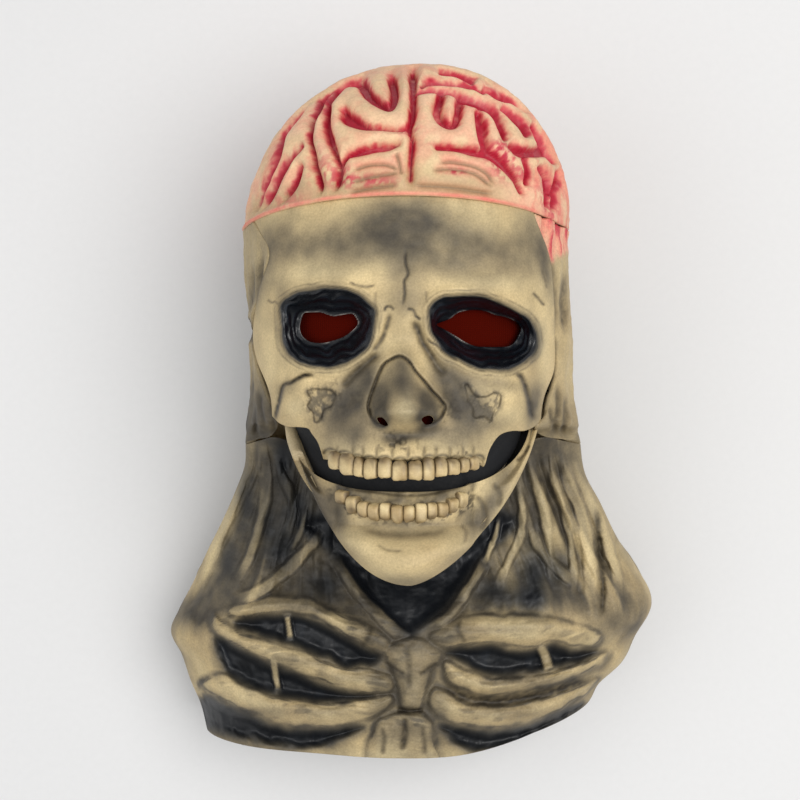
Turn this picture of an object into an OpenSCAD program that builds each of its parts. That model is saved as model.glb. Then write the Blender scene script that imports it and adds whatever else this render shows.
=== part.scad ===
// Full-head latex skull mask with an exposed brain, a hinged lower jaw and a chest bib.
// It lies on its back: +X across the face, +Y towards the crown, +Z up out of the face.
// Shapes are written in a head frame whose X and Y start between the eyes and the mouth;
// every sub-part is then moved so that the origin is the middle of the footprint.

/* [Head] */
// Width across the temples, outside
head_w = 180; // [174:1:186]
// Height of the mask's widest line above the surface it lies on
axis_z = 100; // [98:0.5:102]
// Distance from the seam of the brain to the top of the crown
crown_h = 92; // [86:1:96]
// Thickness of the latex skin
skin = 3; // [2.5:0.1:3.2]

/* [Face] */
// Depth of the eye sockets below the face
socket_depth = 21; // [16:1:24]
// Height of the nose above the face
nose_h = 22; // [16:1:24]
// Half width of the left eye hole
left_hole_w = 15; // [12:0.5:16]
// Half width of the right eye hole
right_hole_w = 21; // [16:0.5:22]
// Half height of the eye holes
hole_h = 8.6; // [7:0.2:9.4]

/* [Teeth] */
// Number of upper teeth
upper_count = 12; // [8:1:14]
// Number of lower teeth
lower_count = 12; // [8:1:14]
// Height of the upper teeth
upper_tooth_h = 9.6; // [8:0.2:10]
// Height of the lower teeth
lower_tooth_h = 8.6; // [7:0.2:9.4]

/* [Jaw hinge] */
// Radius of the rivet's shank
rivet_r = 2.5; // [2:0.1:3]
// Running clearance between the shank and the tab's bore
rivet_play = 0.06; // [0.03:0.01:0.09]
// Thickness of the hinge tabs and arms
tab_t = 2; // [1.6:0.1:2.2]

/* [Padding and strap] */
// Thickness of the foam pads
pad_t = 7; // [5:0.5:9]
// Width of the elastic head strap
strap_w = 25; // [20:1:30]
// Thickness of the elastic head strap
strap_t = 1.6; // [1.2:0.1:2]

/* [Hidden] */
$fn = 48;

place = [-7.4, 7.2, 0];           // head frame to the middle of the footprint
wide = head_w / 180;            // width scale of the head
gap = 0.4;                      // glue line between neighbouring skins
edge_gap = 1.4;                  // the same along the side edges of the face
seam_gap = 1.6;                 // the same along the curved side seams of the drape
round_p = 2.3;                  // squareness of the head's cross-section
seam_y = 97;                    // seam between brain and skull
ear_y = -22;                    // where hood, bib and nape meet at each side
cheek_y = -14;                  // lower end of the side edges of the face
brain_drop = 97;                // front of the brain above the axis
face_mid = 3.6;                 // mid-line of the face
jaw_mid = 7.5;                  // mid-line of the jaw and of its hinge
teeth_mid = 2.5;                // mid-line of the dental arches
upper_arch_r = 43.5;            // outer radius of the upper teeth
upper_arch_z = 209 - upper_arch_r;
lower_arch_r = 45;              // outer radius of the lower teeth
lower_arch_z = 203.5 - lower_arch_r;
upper_half = 62;                // half angle of the upper arch
lower_half = 54;                // half angle of the lower arch
upper_root_y = -29.2;           // line of the upper gum
lower_root_y = -51.6;           // line of the tips of the lower teeth
gum_r = 37.6;                   // outer radius of the upper gum bar

// Outline of the drape and head seen from above: y, then x of the side
left_side = [[-200, -117], [-183, -122], [-170, -128], [-153, -134], [-140, -140], [-127, -135],
    [-110, -125.5], [-89, -115], [-73, -106], [-52, -95], [-37, -88.5], [-22, -87], [0, -84],
    [40, -84], [97, -86.4]];
right_side = [[-192, 108], [-180, 117], [-171, 122], [-158, 136], [-142, 144], [-124, 153.2],
    [-98, 141], [-84, 131], [-60, 117], [-42, 106], [-22, 101.5], [2, 97.5], [34, 96.5],
    [51, 94.5], [79, 92.5], [97, 93.6]];
// Height of the side seam of the drape
side_seam_z = [[-200, 34], [-183, 28], [-140, 25], [-124, 27], [-110, 36], [-89, 48], [-73, 60],
    [-52, 80], [-37, 92], [-22, 100]];
// Height of the drape along its middle
bib_crest_z = [[-204, 95], [-185, 103], [-170, 108], [-155, 112], [-140, 116], [-125, 118],
    [-112, 110], [-100, 102], [-90, 98], [-75, 104], [-60, 108], [-40, 114], [-14, 120]];
// Height of the face along its middle, without the nose
face_crest_z = [[-45, 206], [-25, 207], [-12, 205], [10, 203], [28, 201], [40, 203], [55, 205],
    [70, 203], [85, 199.5], [97, 197]];
// Half width of the face's cross-section
face_half = [[-45, 54], [-30, 57], [-15, 69], [0, 77], [20, 84], [45, 86.5], [75, 88.5], [97, 90]];
// Side edges of the face, where it meets the hood
left_edge = [[-14, -66], [-5, -67.5], [11, -71.5], [29, -76], [41, -76], [58, -72], [75, -69],
    [97, -80]];
right_edge = [[-14, 71], [0, 77], [13, 80], [31, 81], [49, 80], [76, 76], [87, 73], [97, 74]];
// Lower edge of the face against the share of its width
lower_edge = [[0, -10], [0.06, -13], [0.13, -14], [0.17, -22], [0.2, -26], [0.25, -28.2],
    [0.5, -28.6], [0.74, -28.2], [0.79, -26], [0.83, -21], [0.88, -15.5], [0.94, -14.5], [1, -13]];
// Upper edge of the bib from the left ear behind the jaw to the right ear: share, x and y
bib_top_x = [[0, -87], [0.06, -78], [0.12, -69], [0.18, -59], [0.24, -52], [0.3, -45], [0.37, -34],
    [0.44, -18], [0.5, 3], [0.56, 22], [0.63, 38], [0.7, 50], [0.76, 59], [0.82, 69], [0.88, 79],
    [0.94, 90], [1, 101.5]];
bib_top_y = [[0, -25], [0.06, -22.5], [0.12, -20.5], [0.18, -24], [0.24, -35], [0.3, -47],
    [0.37, -60], [0.44, -70], [0.5, -74], [0.56, -70], [0.63, -60], [0.7, -47], [0.76, -35],
    [0.82, -24], [0.88, -20.5], [0.94, -22.5], [1, -25]];
// Hem of the bib: share of the width, then y
hem_y = [[0, -198], [0.12, -200], [0.3, -201], [0.5, -203.4], [0.68, -202], [0.8, -196],
    [0.9, -189], [1, -180]];

// --- Shape helpers ---

function mix(a, b, t) = a + (b - a) * t;
function ease(t) = t <= 0 ? 0 : t >= 1 ? 1 : t * t * (3 - 2 * t);
function root(s, p) = pow(max(0, 1 - pow(min(1, abs(s)), p)), 1 / p);
function bump(x, y, cx, cy, rx, ry) = exp(-pow((x - cx) / rx, 2) - pow((y - cy) / ry, 2));
function flat(list) = [for (row = list) for (p = row) p];

// Grid of points moved along its own normals by the distance d, towards the inside
function cell(g, i, j) = g[max(0, min(len(g) - 1, i))][max(0, min(len(g[0]) - 1, j))];
function grid_normal(g, i, j) = let (
    n = cross(cell(g, i, j + 1) - cell(g, i, j - 1), cell(g, i + 1, j) - cell(g, i - 1, j)))
    n / norm(n);
function inset(g, d) = [for (i = [0:len(g) - 1]) [for (j = [0:len(g[0]) - 1])
    g[i][j] - d * grid_normal(g, i, j)]];

// Closed sheet between an outer grid and an inner grid of the same size.
// Rows run with the columns and rows counted so that their cross product points outwards.
module sheet_between(outer, inner) {
    rows = len(outer);
    cols = len(outer[0]);
    n = rows * cols;
    last = rows - 1;
    polyhedron(
        points = concat(flat(outer), flat(inner)),
        faces = concat(
            [for (i = [0:rows - 2]) for (j = [0:cols - 2]) for (k = [0, 1])
                let (a = i * cols + j)
                k == 0 ? [a, a + cols, a + 1] : [a + 1, a + cols, a + cols + 1]],
            [for (i = [0:rows - 2]) for (j = [0:cols - 2]) for (k = [0, 1])
                let (a = n + i * cols + j)
                k == 0 ? [a, a + 1, a + cols] : [a + 1, a + cols + 1, a + cols]],
            [for (j = [0:cols - 2]) for (k = [0, 1])
                k == 0 ? [j, j + 1, n + j] : [j + 1, n + j + 1, n + j]],
            [for (j = [0:cols - 2]) for (k = [0, 1])
                let (a = last * cols + j)
                k == 0 ? [a, n + a, a + 1] : [a + 1, n + a, n + a + 1]],
            [for (i = [0:rows - 2]) for (k = [0, 1])
                let (a = i * cols)
                k == 0 ? [a, n + a, a + cols] : [a + cols, n + a, n + a + cols]],
            [for (i = [0:rows - 2]) for (k = [0, 1])
                let (a = i * cols + cols - 1)
                k == 0 ? [a, a + cols, n + a] : [a + cols, n + a + cols, n + a]]));
}

module sheet_skin(g, t) {
    sheet_between(g, inset(g, t));
}

// --- Surfaces of the head and drape ---

function socket(x, y, cx, cy, rx, ry) =
    let (r = norm([(x - cx) / rx, (y - cy) / ry]))
    -socket_depth * (1 - ease((r - 0.42) / 0.63));

function face_z(x, y) =
    axis_z + (lookup(y, face_crest_z) - axis_z) * root((x / wide - face_mid) / lookup(y, face_half), round_p)
    + socket(x, y, -37.5, 36.5, 25, 21)
    + socket(x, y, 43.5, 35.5, 29, 21)
    + nose_h * bump(x, y, 3, -2, 11, 14)
    + 5 * bump(x, y, -54, 0, 14, 10)
    + 5 * bump(x, y, 59, 1, 14, 11);

function side_half(y) = (lookup(y, right_side) - lookup(y, left_side)) / 2 * wide;
function side_mid(y) = (lookup(y, right_side) + lookup(y, left_side)) / 2;

function bib_z(x, y) =
    let (low = lookup(y, side_seam_z))
    low + (lookup(y, bib_crest_z) - low) * root((x - side_mid(y)) / side_half(y), round_p)
    + 14 * bump(x, y, -68, -12, 10, 12)
    + 14 * bump(x, y, 76, -12, 12, 12);

function edge_x(y, right) =
    y > cheek_y ? lookup(y, right ? right_edge : left_edge) * wide
    : mix(lookup(y, right ? right_side : left_side), lookup(cheek_y, right ? right_edge : left_edge),
        0.06 + 0.94 * pow((y - ear_y) / (cheek_y - ear_y), 0.7)) * wide;
function edge_z(y, right) =
    y > cheek_y ? face_z(edge_x(y, right), y)
    : mix(axis_z + 6, face_z(edge_x(cheek_y, right), cheek_y), (y - ear_y) / (cheek_y - ear_y));

// Front edge to widest line on one side of the hood
function hood_upper(y, right, t) =
    let (
        side = side_mid(y) + (right ? 1 : -1) * side_half(y),
        top = edge_z(y, right) - edge_gap)
    [mix(side, edge_x(y, right) + (right ? edge_gap : -edge_gap), pow(t, 2.2)), y, mix(axis_z, top, t)];
// Below the widest line, round the back of the head
function hood_lower(y, a) =
    let (e = 2 / round_p, c = cos(a), s = sin(a))
    [side_mid(y) + side_half(y) * sign(c) * pow(abs(c), e), y,
        max(0, axis_z - (axis_z + 2) * pow(s, e))];

hood_rows = 15;
function hood_row(y) = concat(
    [for (k = [0:4]) hood_upper(y, true, 1 - k / 5)],
    [for (k = [0:22]) hood_lower(y, 180 * k / 22)],
    [for (k = [1:5]) hood_upper(y, false, k / 5)]);
hood_grid = [for (i = [0:hood_rows - 1])
    hood_row(mix(ear_y + 2 * gap, seam_y - 2 * gap, pow(i / (hood_rows - 1), 1.25)))];

// Brain: p runs from 0 at the seam to 1 at the crown, a goes once round
brain_p = 2;                     // roundness of the dome from the seam to the crown
brain_lean = 12;                // shift of the crown towards the right
brain_tilt = 6;                 // rise of the crown above the widest line
brain_half = 90;                // half width of the dome at the seam
function brain_point(p, a) =
    let (
        q = 90 * p,
        size = pow(cos(q), 2 / brain_p),
        e = 2 / round_p,
        c = cos(a),
        s = sin(a))
    [face_mid + brain_lean * p + brain_half * wide * size * sign(c) * pow(abs(c), e),
        seam_y + crown_h * pow(sin(q), 2 / brain_p),
        max(0, axis_z + brain_tilt * p
            + (s > 0 ? brain_drop : axis_z + 2 + 4 * p) * size * sign(s) * pow(abs(s), e))];
brain_rows = 11;
brain_cols = 40;
crown_share = 0.985;
function brain_grid(from, to, rows, a0, a1, cols) = [for (i = [0:rows - 1])
    [for (j = [0:cols - 1])
        brain_point(mix(from, to, i / (rows - 1)), mix(a0, a1, j / (cols - 1)))]];

// --- Head pieces ---

face_rows = 24;
face_cols = 27;
function face_point(u, v, y_low) =
    let (
        y = mix(seam_y - gap, y_low, v),
        x = mix(edge_x(max(y, cheek_y + 0.1), false), edge_x(max(y, cheek_y + 0.1), true), u))
    [x, y, face_z(x, y)];
face_grid = [for (i = [0:face_rows - 1]) [for (j = [0:face_cols - 1])
    face_point(j / (face_cols - 1), 1 - i / (face_rows - 1),
        lookup(j / (face_cols - 1), lower_edge))]];

cutter_h = 80;                  // length of the cutters that go through the face
nostril = [6, 8];               // width and height of a nostril
nostril_y = -10.5;
module eye_hole(cx, cy, w) {
    translate([cx, cy, 140]) resize([2 * w, 2 * hole_h, cutter_h])
        cylinder(h = cutter_h, r = 10, $fn = 32);
}
module nostril_hole(cx) {
    translate([cx, nostril_y, 180]) resize([nostril[0], nostril[1], cutter_h])
        cylinder(h = cutter_h, r = 4, $fn = 20);
}

module skull_face() {
    color("#d9c28e") translate(place) resize([0, 0, 0]) difference() {
        sheet_skin(face_grid, skin);
        eye_hole(-36.5, 37.5, left_hole_w);
        eye_hole(41, 36.5, right_hole_w);
        nostril_hole(-8);
        nostril_hole(14);
    }
}

module brain_cap() {
    outer = brain_grid(0, crown_share, brain_rows, 360, 0, brain_cols);
    color("#e6a98c") translate(place) resize([0, 0, 0]) difference() {
        dome(outer);
        dome(brain_inside());
    }
}
wall_share = 1.15;              // the inner face follows rays, so it is set a little deeper
function toward(p, c, d) = p + d * (c - p) / norm(c - p);
brain_core = [face_mid + 3, seam_y - 12, axis_z];
function brain_inside() = [for (i = [0:brain_rows - 1]) [for (j = [0:brain_cols - 1])
    let (
        p = brain_point(crown_share * i / (brain_rows - 1), mix(360, 0, j / (brain_cols - 1))),
        q = toward(p, brain_core, skin * wall_share))
    i == 0 ? [q[0], seam_y - 1, max(skin, q[2])] : [q[0], q[1], max(skin, q[2])]]];

// Solid closed at the seam plane and at the crown
module dome(g) {
    rows = len(g);
    cols = len(g[0]) - 1;
    base = [for (i = [0:rows - 1]) for (j = [0:cols - 1]) g[i][j]];
    n = rows * cols;
    polyhedron(
        points = base,
        faces = concat(
            [for (i = [0:rows - 2]) for (j = [0:cols - 1]) for (k = [0, 1])
                let (a = i * cols + j, b = i * cols + (j + 1) % cols)
                k == 0 ? [a, a + cols, b] : [b, a + cols, b + cols]],
            [[for (j = [0:cols - 1]) j]],
            [[for (j = [cols - 1:-1:0]) n - cols + j]]));
}

module back_hood() {
    color("#b9a57e") translate(place) sheet_skin(hood_grid, skin);
}

nape_rows = 15;
nape_cols = 19;
function nape_point(y, u) =
    let (
        s = 1 - 2 * u,
        low = lookup(y, side_seam_z),
        squareness = mix(round_p, 4, ease((ear_y - y) / 50)))
    [side_mid(y) + side_half(y) * s, y, max(0, low - seam_gap - (low + 2) * root(s, squareness))];
module nape_skirt() {
    grid = [for (i = [0:nape_rows - 1]) [for (j = [0:nape_cols - 1])
        nape_point(mix(-196, ear_y - gap, i / (nape_rows - 1)),
            0.5 - 0.5 * sin(90 - 180 * j / (nape_cols - 1)))]];
    color("#a8956f") translate(place) sheet_skin(grid, skin);
}

bib_rows = 15;
bib_cols = 41;
function bib_point(u, v) =
    let (
        top = [lookup(u, bib_top_x), lookup(u, bib_top_y)],
        y = mix(top[1], lookup(u, hem_y), v),
        share = (top[0] - side_mid(top[1])) / side_half(top[1]),
        x = side_mid(y) + side_half(y) * mix(share, 2 * u - 1, ease(v * 1.4)))
    [x, y, bib_z(x, y)];
module chest_bib() {
    grid = [for (i = [0:bib_rows - 1]) [for (j = [0:bib_cols - 1])
        bib_point(j / (bib_cols - 1), 1 - i / (bib_rows - 1))]];
    color("#cdb684") translate(place) sheet_skin(grid, skin);
}

// --- Lower jaw: a runs from 0 at the left end to 180 at the right end ---

jaw_end_y = -2;
function jaw_curve(a, mid, half, deep, p) =
    let (c = -cos(a) * half)
    [mid + c, jaw_end_y - deep * root(c / half, p)];
// Ledge that the lower teeth sit on
ledge_r = 39.9;
function ledge_z(x) = lower_arch_z + sqrt(max(350, ledge_r * ledge_r - pow(x - teeth_mid, 2)));
function jaw_rise(t) = lookup(t, [[0, 0], [0.12, 2], [0.35, 3.5], [0.66, 17], [0.86, 13], [1, 0]]);
function jaw_point(a, t) =
    let (
        c = abs(cos(a)),
        rim = jaw_curve(a, 5.5, 58.5, 43, 3),
        border = jaw_curve(a, jaw_mid, 59.5, 89, 1.7),
        w = min(1, t),
        curl = max(0, t - 1),
        p = mix(rim, border, w),
        free = mix(138 + 51 * root(c, 1.9), 131 + 66 * root(c, 1.8), w) + jaw_rise(w) * pow(sin(a), 2),
        z = min(free, ledge_z(p[0]) + 1.6 * max(0, -62.5 - p[1])))
    [mix(p[0], jaw_mid, 0.06 * curl), p[1] + 5 * curl, z - curl * (7 + 19 * sin(a))];
jaw_steps = [0, 0.06, 0.12, 0.23, 0.35, 0.5, 0.66, 0.8, 0.92, 1, 1.3, 1.65, 2];
jaw_cols = 33;
jaw_grid = [for (t = [len(jaw_steps) - 1:-1:0]) [for (j = [0:jaw_cols - 1])
    jaw_point(180 * j / (jaw_cols - 1), jaw_steps[t])]];

module lower_jaw() {
    color("#d6c08c") translate(place) sheet_skin(jaw_grid, skin);
}

// --- Teeth: blocks round an arch, on a curved gum bar ---

module arch(r_in, r_out, half_angle, y_low, y_high) {
    translate([0, y_high, 0]) rotate([90, 0, 0])
        rotate([0, 0, 90 - half_angle])
            rotate_extrude(angle = 2 * half_angle, $fn = 96)
                translate([r_in, 0]) square([r_out - r_in, y_high - y_low]);
}

module tooth_row(count, half_angle, r_in, r_out, y_low, y_high, root_lift, tip_lift) {
    step = 2 * half_angle / count;
    for (i = [0:count - 1]) {
        a = -half_angle + step * (i + 0.5);
        w = 2 * r_in * sin(step / 2) - 0.35;
        lift = 1 - cos(a);
        rotate([0, a, 0])
            translate([-w / 2, y_low + root_lift * lift + tip_lift * lift, r_in])
                cube([w, y_high - y_low - tip_lift * lift, r_out - r_in]);
    }
}

module upper_teeth() {
    bar_in = 35.5;
    bar_low = -36;
    bar_high = -21;
    color("#dcc99a") translate(place) translate([teeth_mid, 0, upper_arch_z]) {
        arch(bar_in, gum_r, upper_half, bar_low, bar_high);
        tooth_row(upper_count, upper_half, gum_r - 0.3, upper_arch_r, upper_root_y - upper_tooth_h,
            upper_root_y, 0, 9);
    }
}

module lower_teeth() {
    bar_in = 41.6;
    bar_out = 42.8;
    bar_low = -61.6;
    bar_high = -50.8;
    color("#d8c592") translate(place) translate([teeth_mid, 0, lower_arch_z]) {
        arch(bar_in, bar_out, lower_half - 1, bar_low, bar_high);
        tooth_row(lower_count, lower_half, bar_out - 0.6, lower_arch_r, lower_root_y - lower_tooth_h,
            lower_root_y, 5, 0);
    }
}

// --- Lining and screens ---

function lining_z(x, y) = 185.5 + 0.2 * (y + 22) - pow(x - teeth_mid, 2) / 60;
lining_t = 1.2;                 // thickness of the lining and of the gusset
module mouth_lining() {
    half = 41;
    grid = [for (i = [0:8]) [for (j = [0:20])
        let (
            x = teeth_mid - half * (1 - j / 10),
            y = mix(-51, -20, i / 8) + 15 * pow((x - teeth_mid) / half, 2))
        [x, y, lining_z(x, y)]]];
    color("#15171d") translate(place) sheet_skin(grid, lining_t);
}

// Stretch gusset that closes the throat between the back of the jaw and the top of the bib
function inward(p, d) =
    let (middle = [jaw_mid, -8, p[2]])
    p + d * (middle - p) / norm(middle - p);
function gusset_point(s, v) =
    let (
        jaw = jaw_point(mix(12, 168, s), 2),
        edge = bib_point(mix(0.2, 0.8, s), 0),
        top = inward(jaw, 6 + 5 * sin(180 * s)) + [0, 0, 1],
        low = inward(edge, 5.5) - [0, 0, skin])
    mix(low, top, v);
module throat_gusset() {
    grid = [for (i = [0:6]) [for (j = [0:24]) gusset_point(j / 24, i / 6)]];
    color("#15171d") translate(place) sheet_skin(grid, lining_t);
}

// Fabric glued behind the face, from x0 to x1 and y0 to y1
screen_t = 1;
screen_gap = 1.7;
module screen(x0, x1, y0, y1, cols, rows) {
    grid = [for (i = [0:rows]) [for (j = [0:cols])
        let (x = mix(x0, x1, j / cols), y = mix(y0, y1, i / rows))
        [x, y, face_z(x, y)]]];
    color("#400600") translate(place)
        sheet_between(inset(grid, skin + screen_gap), inset(grid, skin + screen_gap + screen_t));
}
module left_eye_screen() {
    screen(-53, -20, 28, 47, 8, 6);
}
module right_eye_screen() {
    screen(18, 63.5, 26.5, 46.5, 10, 6);
}
module nostril_screen() {
    screen(-13, 19, -17, -4, 8, 4);
}

// --- Jaw hinge: exact plates, bores and rivets; side is -1 left, 1 right ---

pivot = [0, 112];               // y and z of the hinge line
arm_x = 77.6;                   // inner face of the arm, from the jaw's mid-line
tab_x = arm_x + tab_t + 0.3;    // inner face of the tab
plate_r = 7;
module on_side(side) {
    translate(place) translate([jaw_mid, 0, 0]) mirror([side < 0 ? 1 : 0, 0, 0]) children();
}
module along_x(x, r, h) {
    translate([x, pivot[0], pivot[1]]) rotate([0, 90, 0]) cylinder(h = h, r = r);
}
module pivot_tab(side) {
    foot = [5.8, 18, 9];        // block glued into the head
    drop = 20;                  // from the hinge line down to the foot
    color("#23252b") on_side(side) {
        difference() {
            union() {
                along_x(tab_x, plate_r, tab_t);
                translate([tab_x, pivot[0] - plate_r, pivot[1] - drop])
                    cube([tab_t, 2 * plate_r, drop]);
                translate([tab_x, pivot[0] - foot[1] / 2, pivot[1] - drop]) cube(foot);
            }
            along_x(tab_x - 1, rivet_r + rivet_play, tab_t + 2);
        }
    }
}
module hinge_arm(side) {
    reach = 23;                 // length of the arm beyond its plate
    lean = 41;                  // turn of the arm towards the jaw
    arm_w = 8;
    color("#23252b") on_side(side) {
        difference() {
            union() {
                along_x(arm_x, plate_r, tab_t);
                translate([arm_x + tab_t, pivot[0] - 2.5, pivot[1] + 5.5]) rotate([0, -lean, 0])
                    translate([-tab_t, 0, 0]) cube([tab_t, arm_w, reach]);
            }
            along_x(arm_x - 1, rivet_r, tab_t + 2);
        }
    }
}
module rivet(side) {
    head_t = 1.1;
    head_r = 4.5;
    color("#9a9a98") on_side(side) {
        along_x(arm_x, rivet_r, 2 * tab_t + 0.6);
        along_x(arm_x - head_t, head_r, head_t);
        along_x(tab_x + tab_t + 0.3, head_r, head_t);
    }
}
module left_pivot_tab() {
    pivot_tab(-1);
}
module right_pivot_tab() {
    pivot_tab(1);
}
module left_hinge_arm() {
    hinge_arm(-1);
}
module right_hinge_arm() {
    hinge_arm(1);
}
module left_rivet() {
    rivet(-1);
}
module right_rivet() {
    rivet(1);
}

// --- Foam pads, chin cup and head strap ---

foam_colour = "#4a4a4c";
dome_skin = skin * 1.3 + gap;    // clearance of the crown pad inside the sloping dome
module forehead_pad() {
    grid = [for (i = [0:5]) [for (j = [0:14])
        let (x = mix(-43, 50, j / 14), y = mix(64, 92, i / 5))
        [x, y, face_z(x, y)]]];
    color(foam_colour) translate(place)
        sheet_between(inset(grid, skin + gap), inset(grid, skin + gap + pad_t));
}
module crown_pad() {
    grid = brain_grid(0.3, 0.62, 6, 140, 40, 12);
    color(foam_colour) translate(place)
        sheet_between(inset(grid, dome_skin), inset(grid, dome_skin + pad_t));
}
cup_gap = 3.6;
cup_core = [jaw_mid, -66, 130];
function cup_grid(d) = [for (t = [0.95, 0.88, 0.8, 0.73, 0.66]) [for (j = [0:8])
    toward(jaw_point(mix(64, 116, j / 8), t), cup_core, d)]];
module chin_cup() {
    color(foam_colour) translate(place)
        sheet_between(cup_grid(skin + cup_gap), cup_grid(skin + cup_gap + pad_t));
}
strap_mid_y = 48;
strap_off = skin + 1;
module head_strap() {
    grid = [for (y = [strap_mid_y - strap_w / 2, strap_mid_y, strap_mid_y + strap_w / 2])
        hood_row(y)];
    color("#1c1c20") translate(place)
        sheet_between(inset(grid, strap_off), inset(grid, strap_off + strap_t));
}
snap_share = 0.55;              // place between the widest line and the face's edge
snap_turn = 72;
snap_r = 5.5;
snap_h = 1.4;
stud_r = 3;
module strap_snaps() {
    for (side = [-1, 1]) {
        p = hood_upper(strap_mid_y, side > 0, snap_share);
        color("#9a9a98") translate(place) translate(p - [side * (strap_off + strap_t + 4.2), 0, 1.5])
            rotate([0, -side * snap_turn, 0]) {
                cylinder(h = snap_h, r = snap_r, center = true);
                translate([0, 0, -1]) cylinder(h = snap_h - 0.2, r = stud_r, center = true);
            }
    }
}

skull_face();
brain_cap();
back_hood();
nape_skirt();
chest_bib();
lower_jaw();
upper_teeth();
lower_teeth();
mouth_lining();
throat_gusset();
left_eye_screen();
right_eye_screen();
nostril_screen();
left_pivot_tab();
right_pivot_tab();
left_hinge_arm();
right_hinge_arm();
left_rivet();
right_rivet();
forehead_pad();
crown_pad();
chin_cup();
head_strap();
strap_snaps();
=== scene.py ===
"""Looks of the full-head skull mask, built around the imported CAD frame.

Lengths are millimetres in the head frame of the CAD source until a mesh is made.
The plan is the view from straight above: a point's plan place is where the line from the
viewing point through it meets the level PLAN_Z. Reliefs and paints are laid out on the plan.
"""

import bmesh
import bpy
import numpy as np
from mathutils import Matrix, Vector


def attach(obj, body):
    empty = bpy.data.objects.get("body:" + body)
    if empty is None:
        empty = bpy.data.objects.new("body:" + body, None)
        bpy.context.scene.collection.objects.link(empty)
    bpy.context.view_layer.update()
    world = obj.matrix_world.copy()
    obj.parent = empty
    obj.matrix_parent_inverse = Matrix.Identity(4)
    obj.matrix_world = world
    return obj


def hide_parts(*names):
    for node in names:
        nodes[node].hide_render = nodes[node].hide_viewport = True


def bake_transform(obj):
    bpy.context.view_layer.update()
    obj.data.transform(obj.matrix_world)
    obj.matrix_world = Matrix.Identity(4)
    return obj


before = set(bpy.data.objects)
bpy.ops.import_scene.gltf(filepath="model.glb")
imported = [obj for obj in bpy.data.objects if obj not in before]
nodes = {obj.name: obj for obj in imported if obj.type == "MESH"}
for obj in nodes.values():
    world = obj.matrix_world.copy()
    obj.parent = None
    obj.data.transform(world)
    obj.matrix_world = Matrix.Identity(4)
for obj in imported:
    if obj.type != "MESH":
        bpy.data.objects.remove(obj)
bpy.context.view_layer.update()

MM = 0.001
PLACE = np.array([-7.4, 7.2, 0.0])  # head frame to row frame
VIEW_Z = 890.0  # height of the viewing point
PLAN_Z = 190.0  # level of the plan
SKIN = 3.0  # thickness of the latex
SEAM_Y = 97.0
CHEEK_Y = -14.0
EAR_Y = -22.0
AXIS_Z = 100.0  # height of the widest line
FACE_MID = 3.6
JAW_MID = 7.5
TEETH_MID = 2.5

# --- Shape helpers ---


def mix(a, b, t):
    return a + (b - a) * t


def ease(t):
    t = np.clip(t, 0, 1)
    return t * t * (3 - 2 * t)


def root(s, p):
    return np.maximum(0, 1 - np.minimum(1, np.abs(s)) ** p) ** (1 / p)


def bump(x, y, cx, cy, rx, ry):
    return np.exp(-(((x - cx) / rx) ** 2) - ((y - cy) / ry) ** 2)


def power(c, e):
    return np.sign(c) * np.abs(c) ** e


def lookup(v, rows):
    """Smooth curve through the rows of a table."""
    x, y = np.array(rows, float).T
    slope = np.gradient(y, x)
    k = np.clip(np.searchsorted(x, v) - 1, 0, len(x) - 2)
    h = x[k + 1] - x[k]
    s = np.clip((v - x[k]) / h, 0, 1)
    rise = y[k + 1] - y[k]
    bend_a = slope[k] * h - rise
    bend_b = rise - slope[k + 1] * h
    return y[k] + rise * s + s * (1 - s) * (bend_a * (1 - s) + bend_b * s)


def unit(v):
    return v / np.maximum(np.linalg.norm(v, axis=-1, keepdims=True), 1e-9)


def spline(points, closed=False, parts=6):
    """Catmull-Rom curve through points given as (x, y) or (x, y, width)."""
    p = np.array(points, float)
    if closed:
        p = np.vstack([p[-1:], p, p[:2]])
    else:
        p = np.vstack([2 * p[0] - p[1], p, 2 * p[-1] - p[-2]])
    s = np.linspace(0, 1, parts, endpoint=False)[:, None]
    rows = []
    for a, b, c, d in zip(p[:-3], p[1:-2], p[2:-1], p[3:]):
        rows.append(0.5 * (2 * b + (c - a) * s + (2 * a - 5 * b + 4 * c - d) * s**2
                           + (3 * b - a - 3 * c + d) * s**3))
    rows.append(p[-2:-1])
    line = np.vstack(rows)
    if line.shape[1] > 2:
        line[:, 2] = np.maximum(line[:, 2], 0.1)
    return line


def nearest(px, py, line):
    """Distance from points to a polyline, share of the way along it, side, and its width there."""
    best = np.full(px.shape, 1e9)
    along = np.zeros(px.shape)
    side = np.zeros(px.shape)
    width = np.ones(px.shape)
    steps = np.linalg.norm(np.diff(line[:, :2], axis=0), axis=1)
    starts = np.concatenate([[0], np.cumsum(steps)])
    for k, length in enumerate(steps):
        if length < 1e-9:
            continue
        ax, ay = line[k, :2]
        dx, dy = (line[k + 1, :2] - line[k, :2]) / length
        t = np.clip((px - ax) * dx + (py - ay) * dy, 0, length)
        gx, gy = px - ax - t * dx, py - ay - t * dy
        d = np.hypot(gx, gy)
        hit = d < best
        best[hit] = d[hit]
        along[hit] = ((starts[k] + t) / starts[-1])[hit]
        side[hit] = np.sign(dx * gy - dy * gx)[hit]
        if line.shape[1] > 2:
            width[hit] = mix(line[k, 2], line[k + 1, 2], t / length)[hit]
    return best, along, side, width


def inside(px, py, line):
    odd = np.zeros(px.shape, bool)
    for (ax, ay), (bx, by) in zip(line[:-1], line[1:]):
        if ay == by:
            continue
        crosses = (ay > py) != (by > py)
        odd ^= crosses & (px < (bx - ax) * (py - ay) / (by - ay) + ax)
    return odd


LATTICE = np.random.default_rng(3).random((32, 32, 32))


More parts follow.
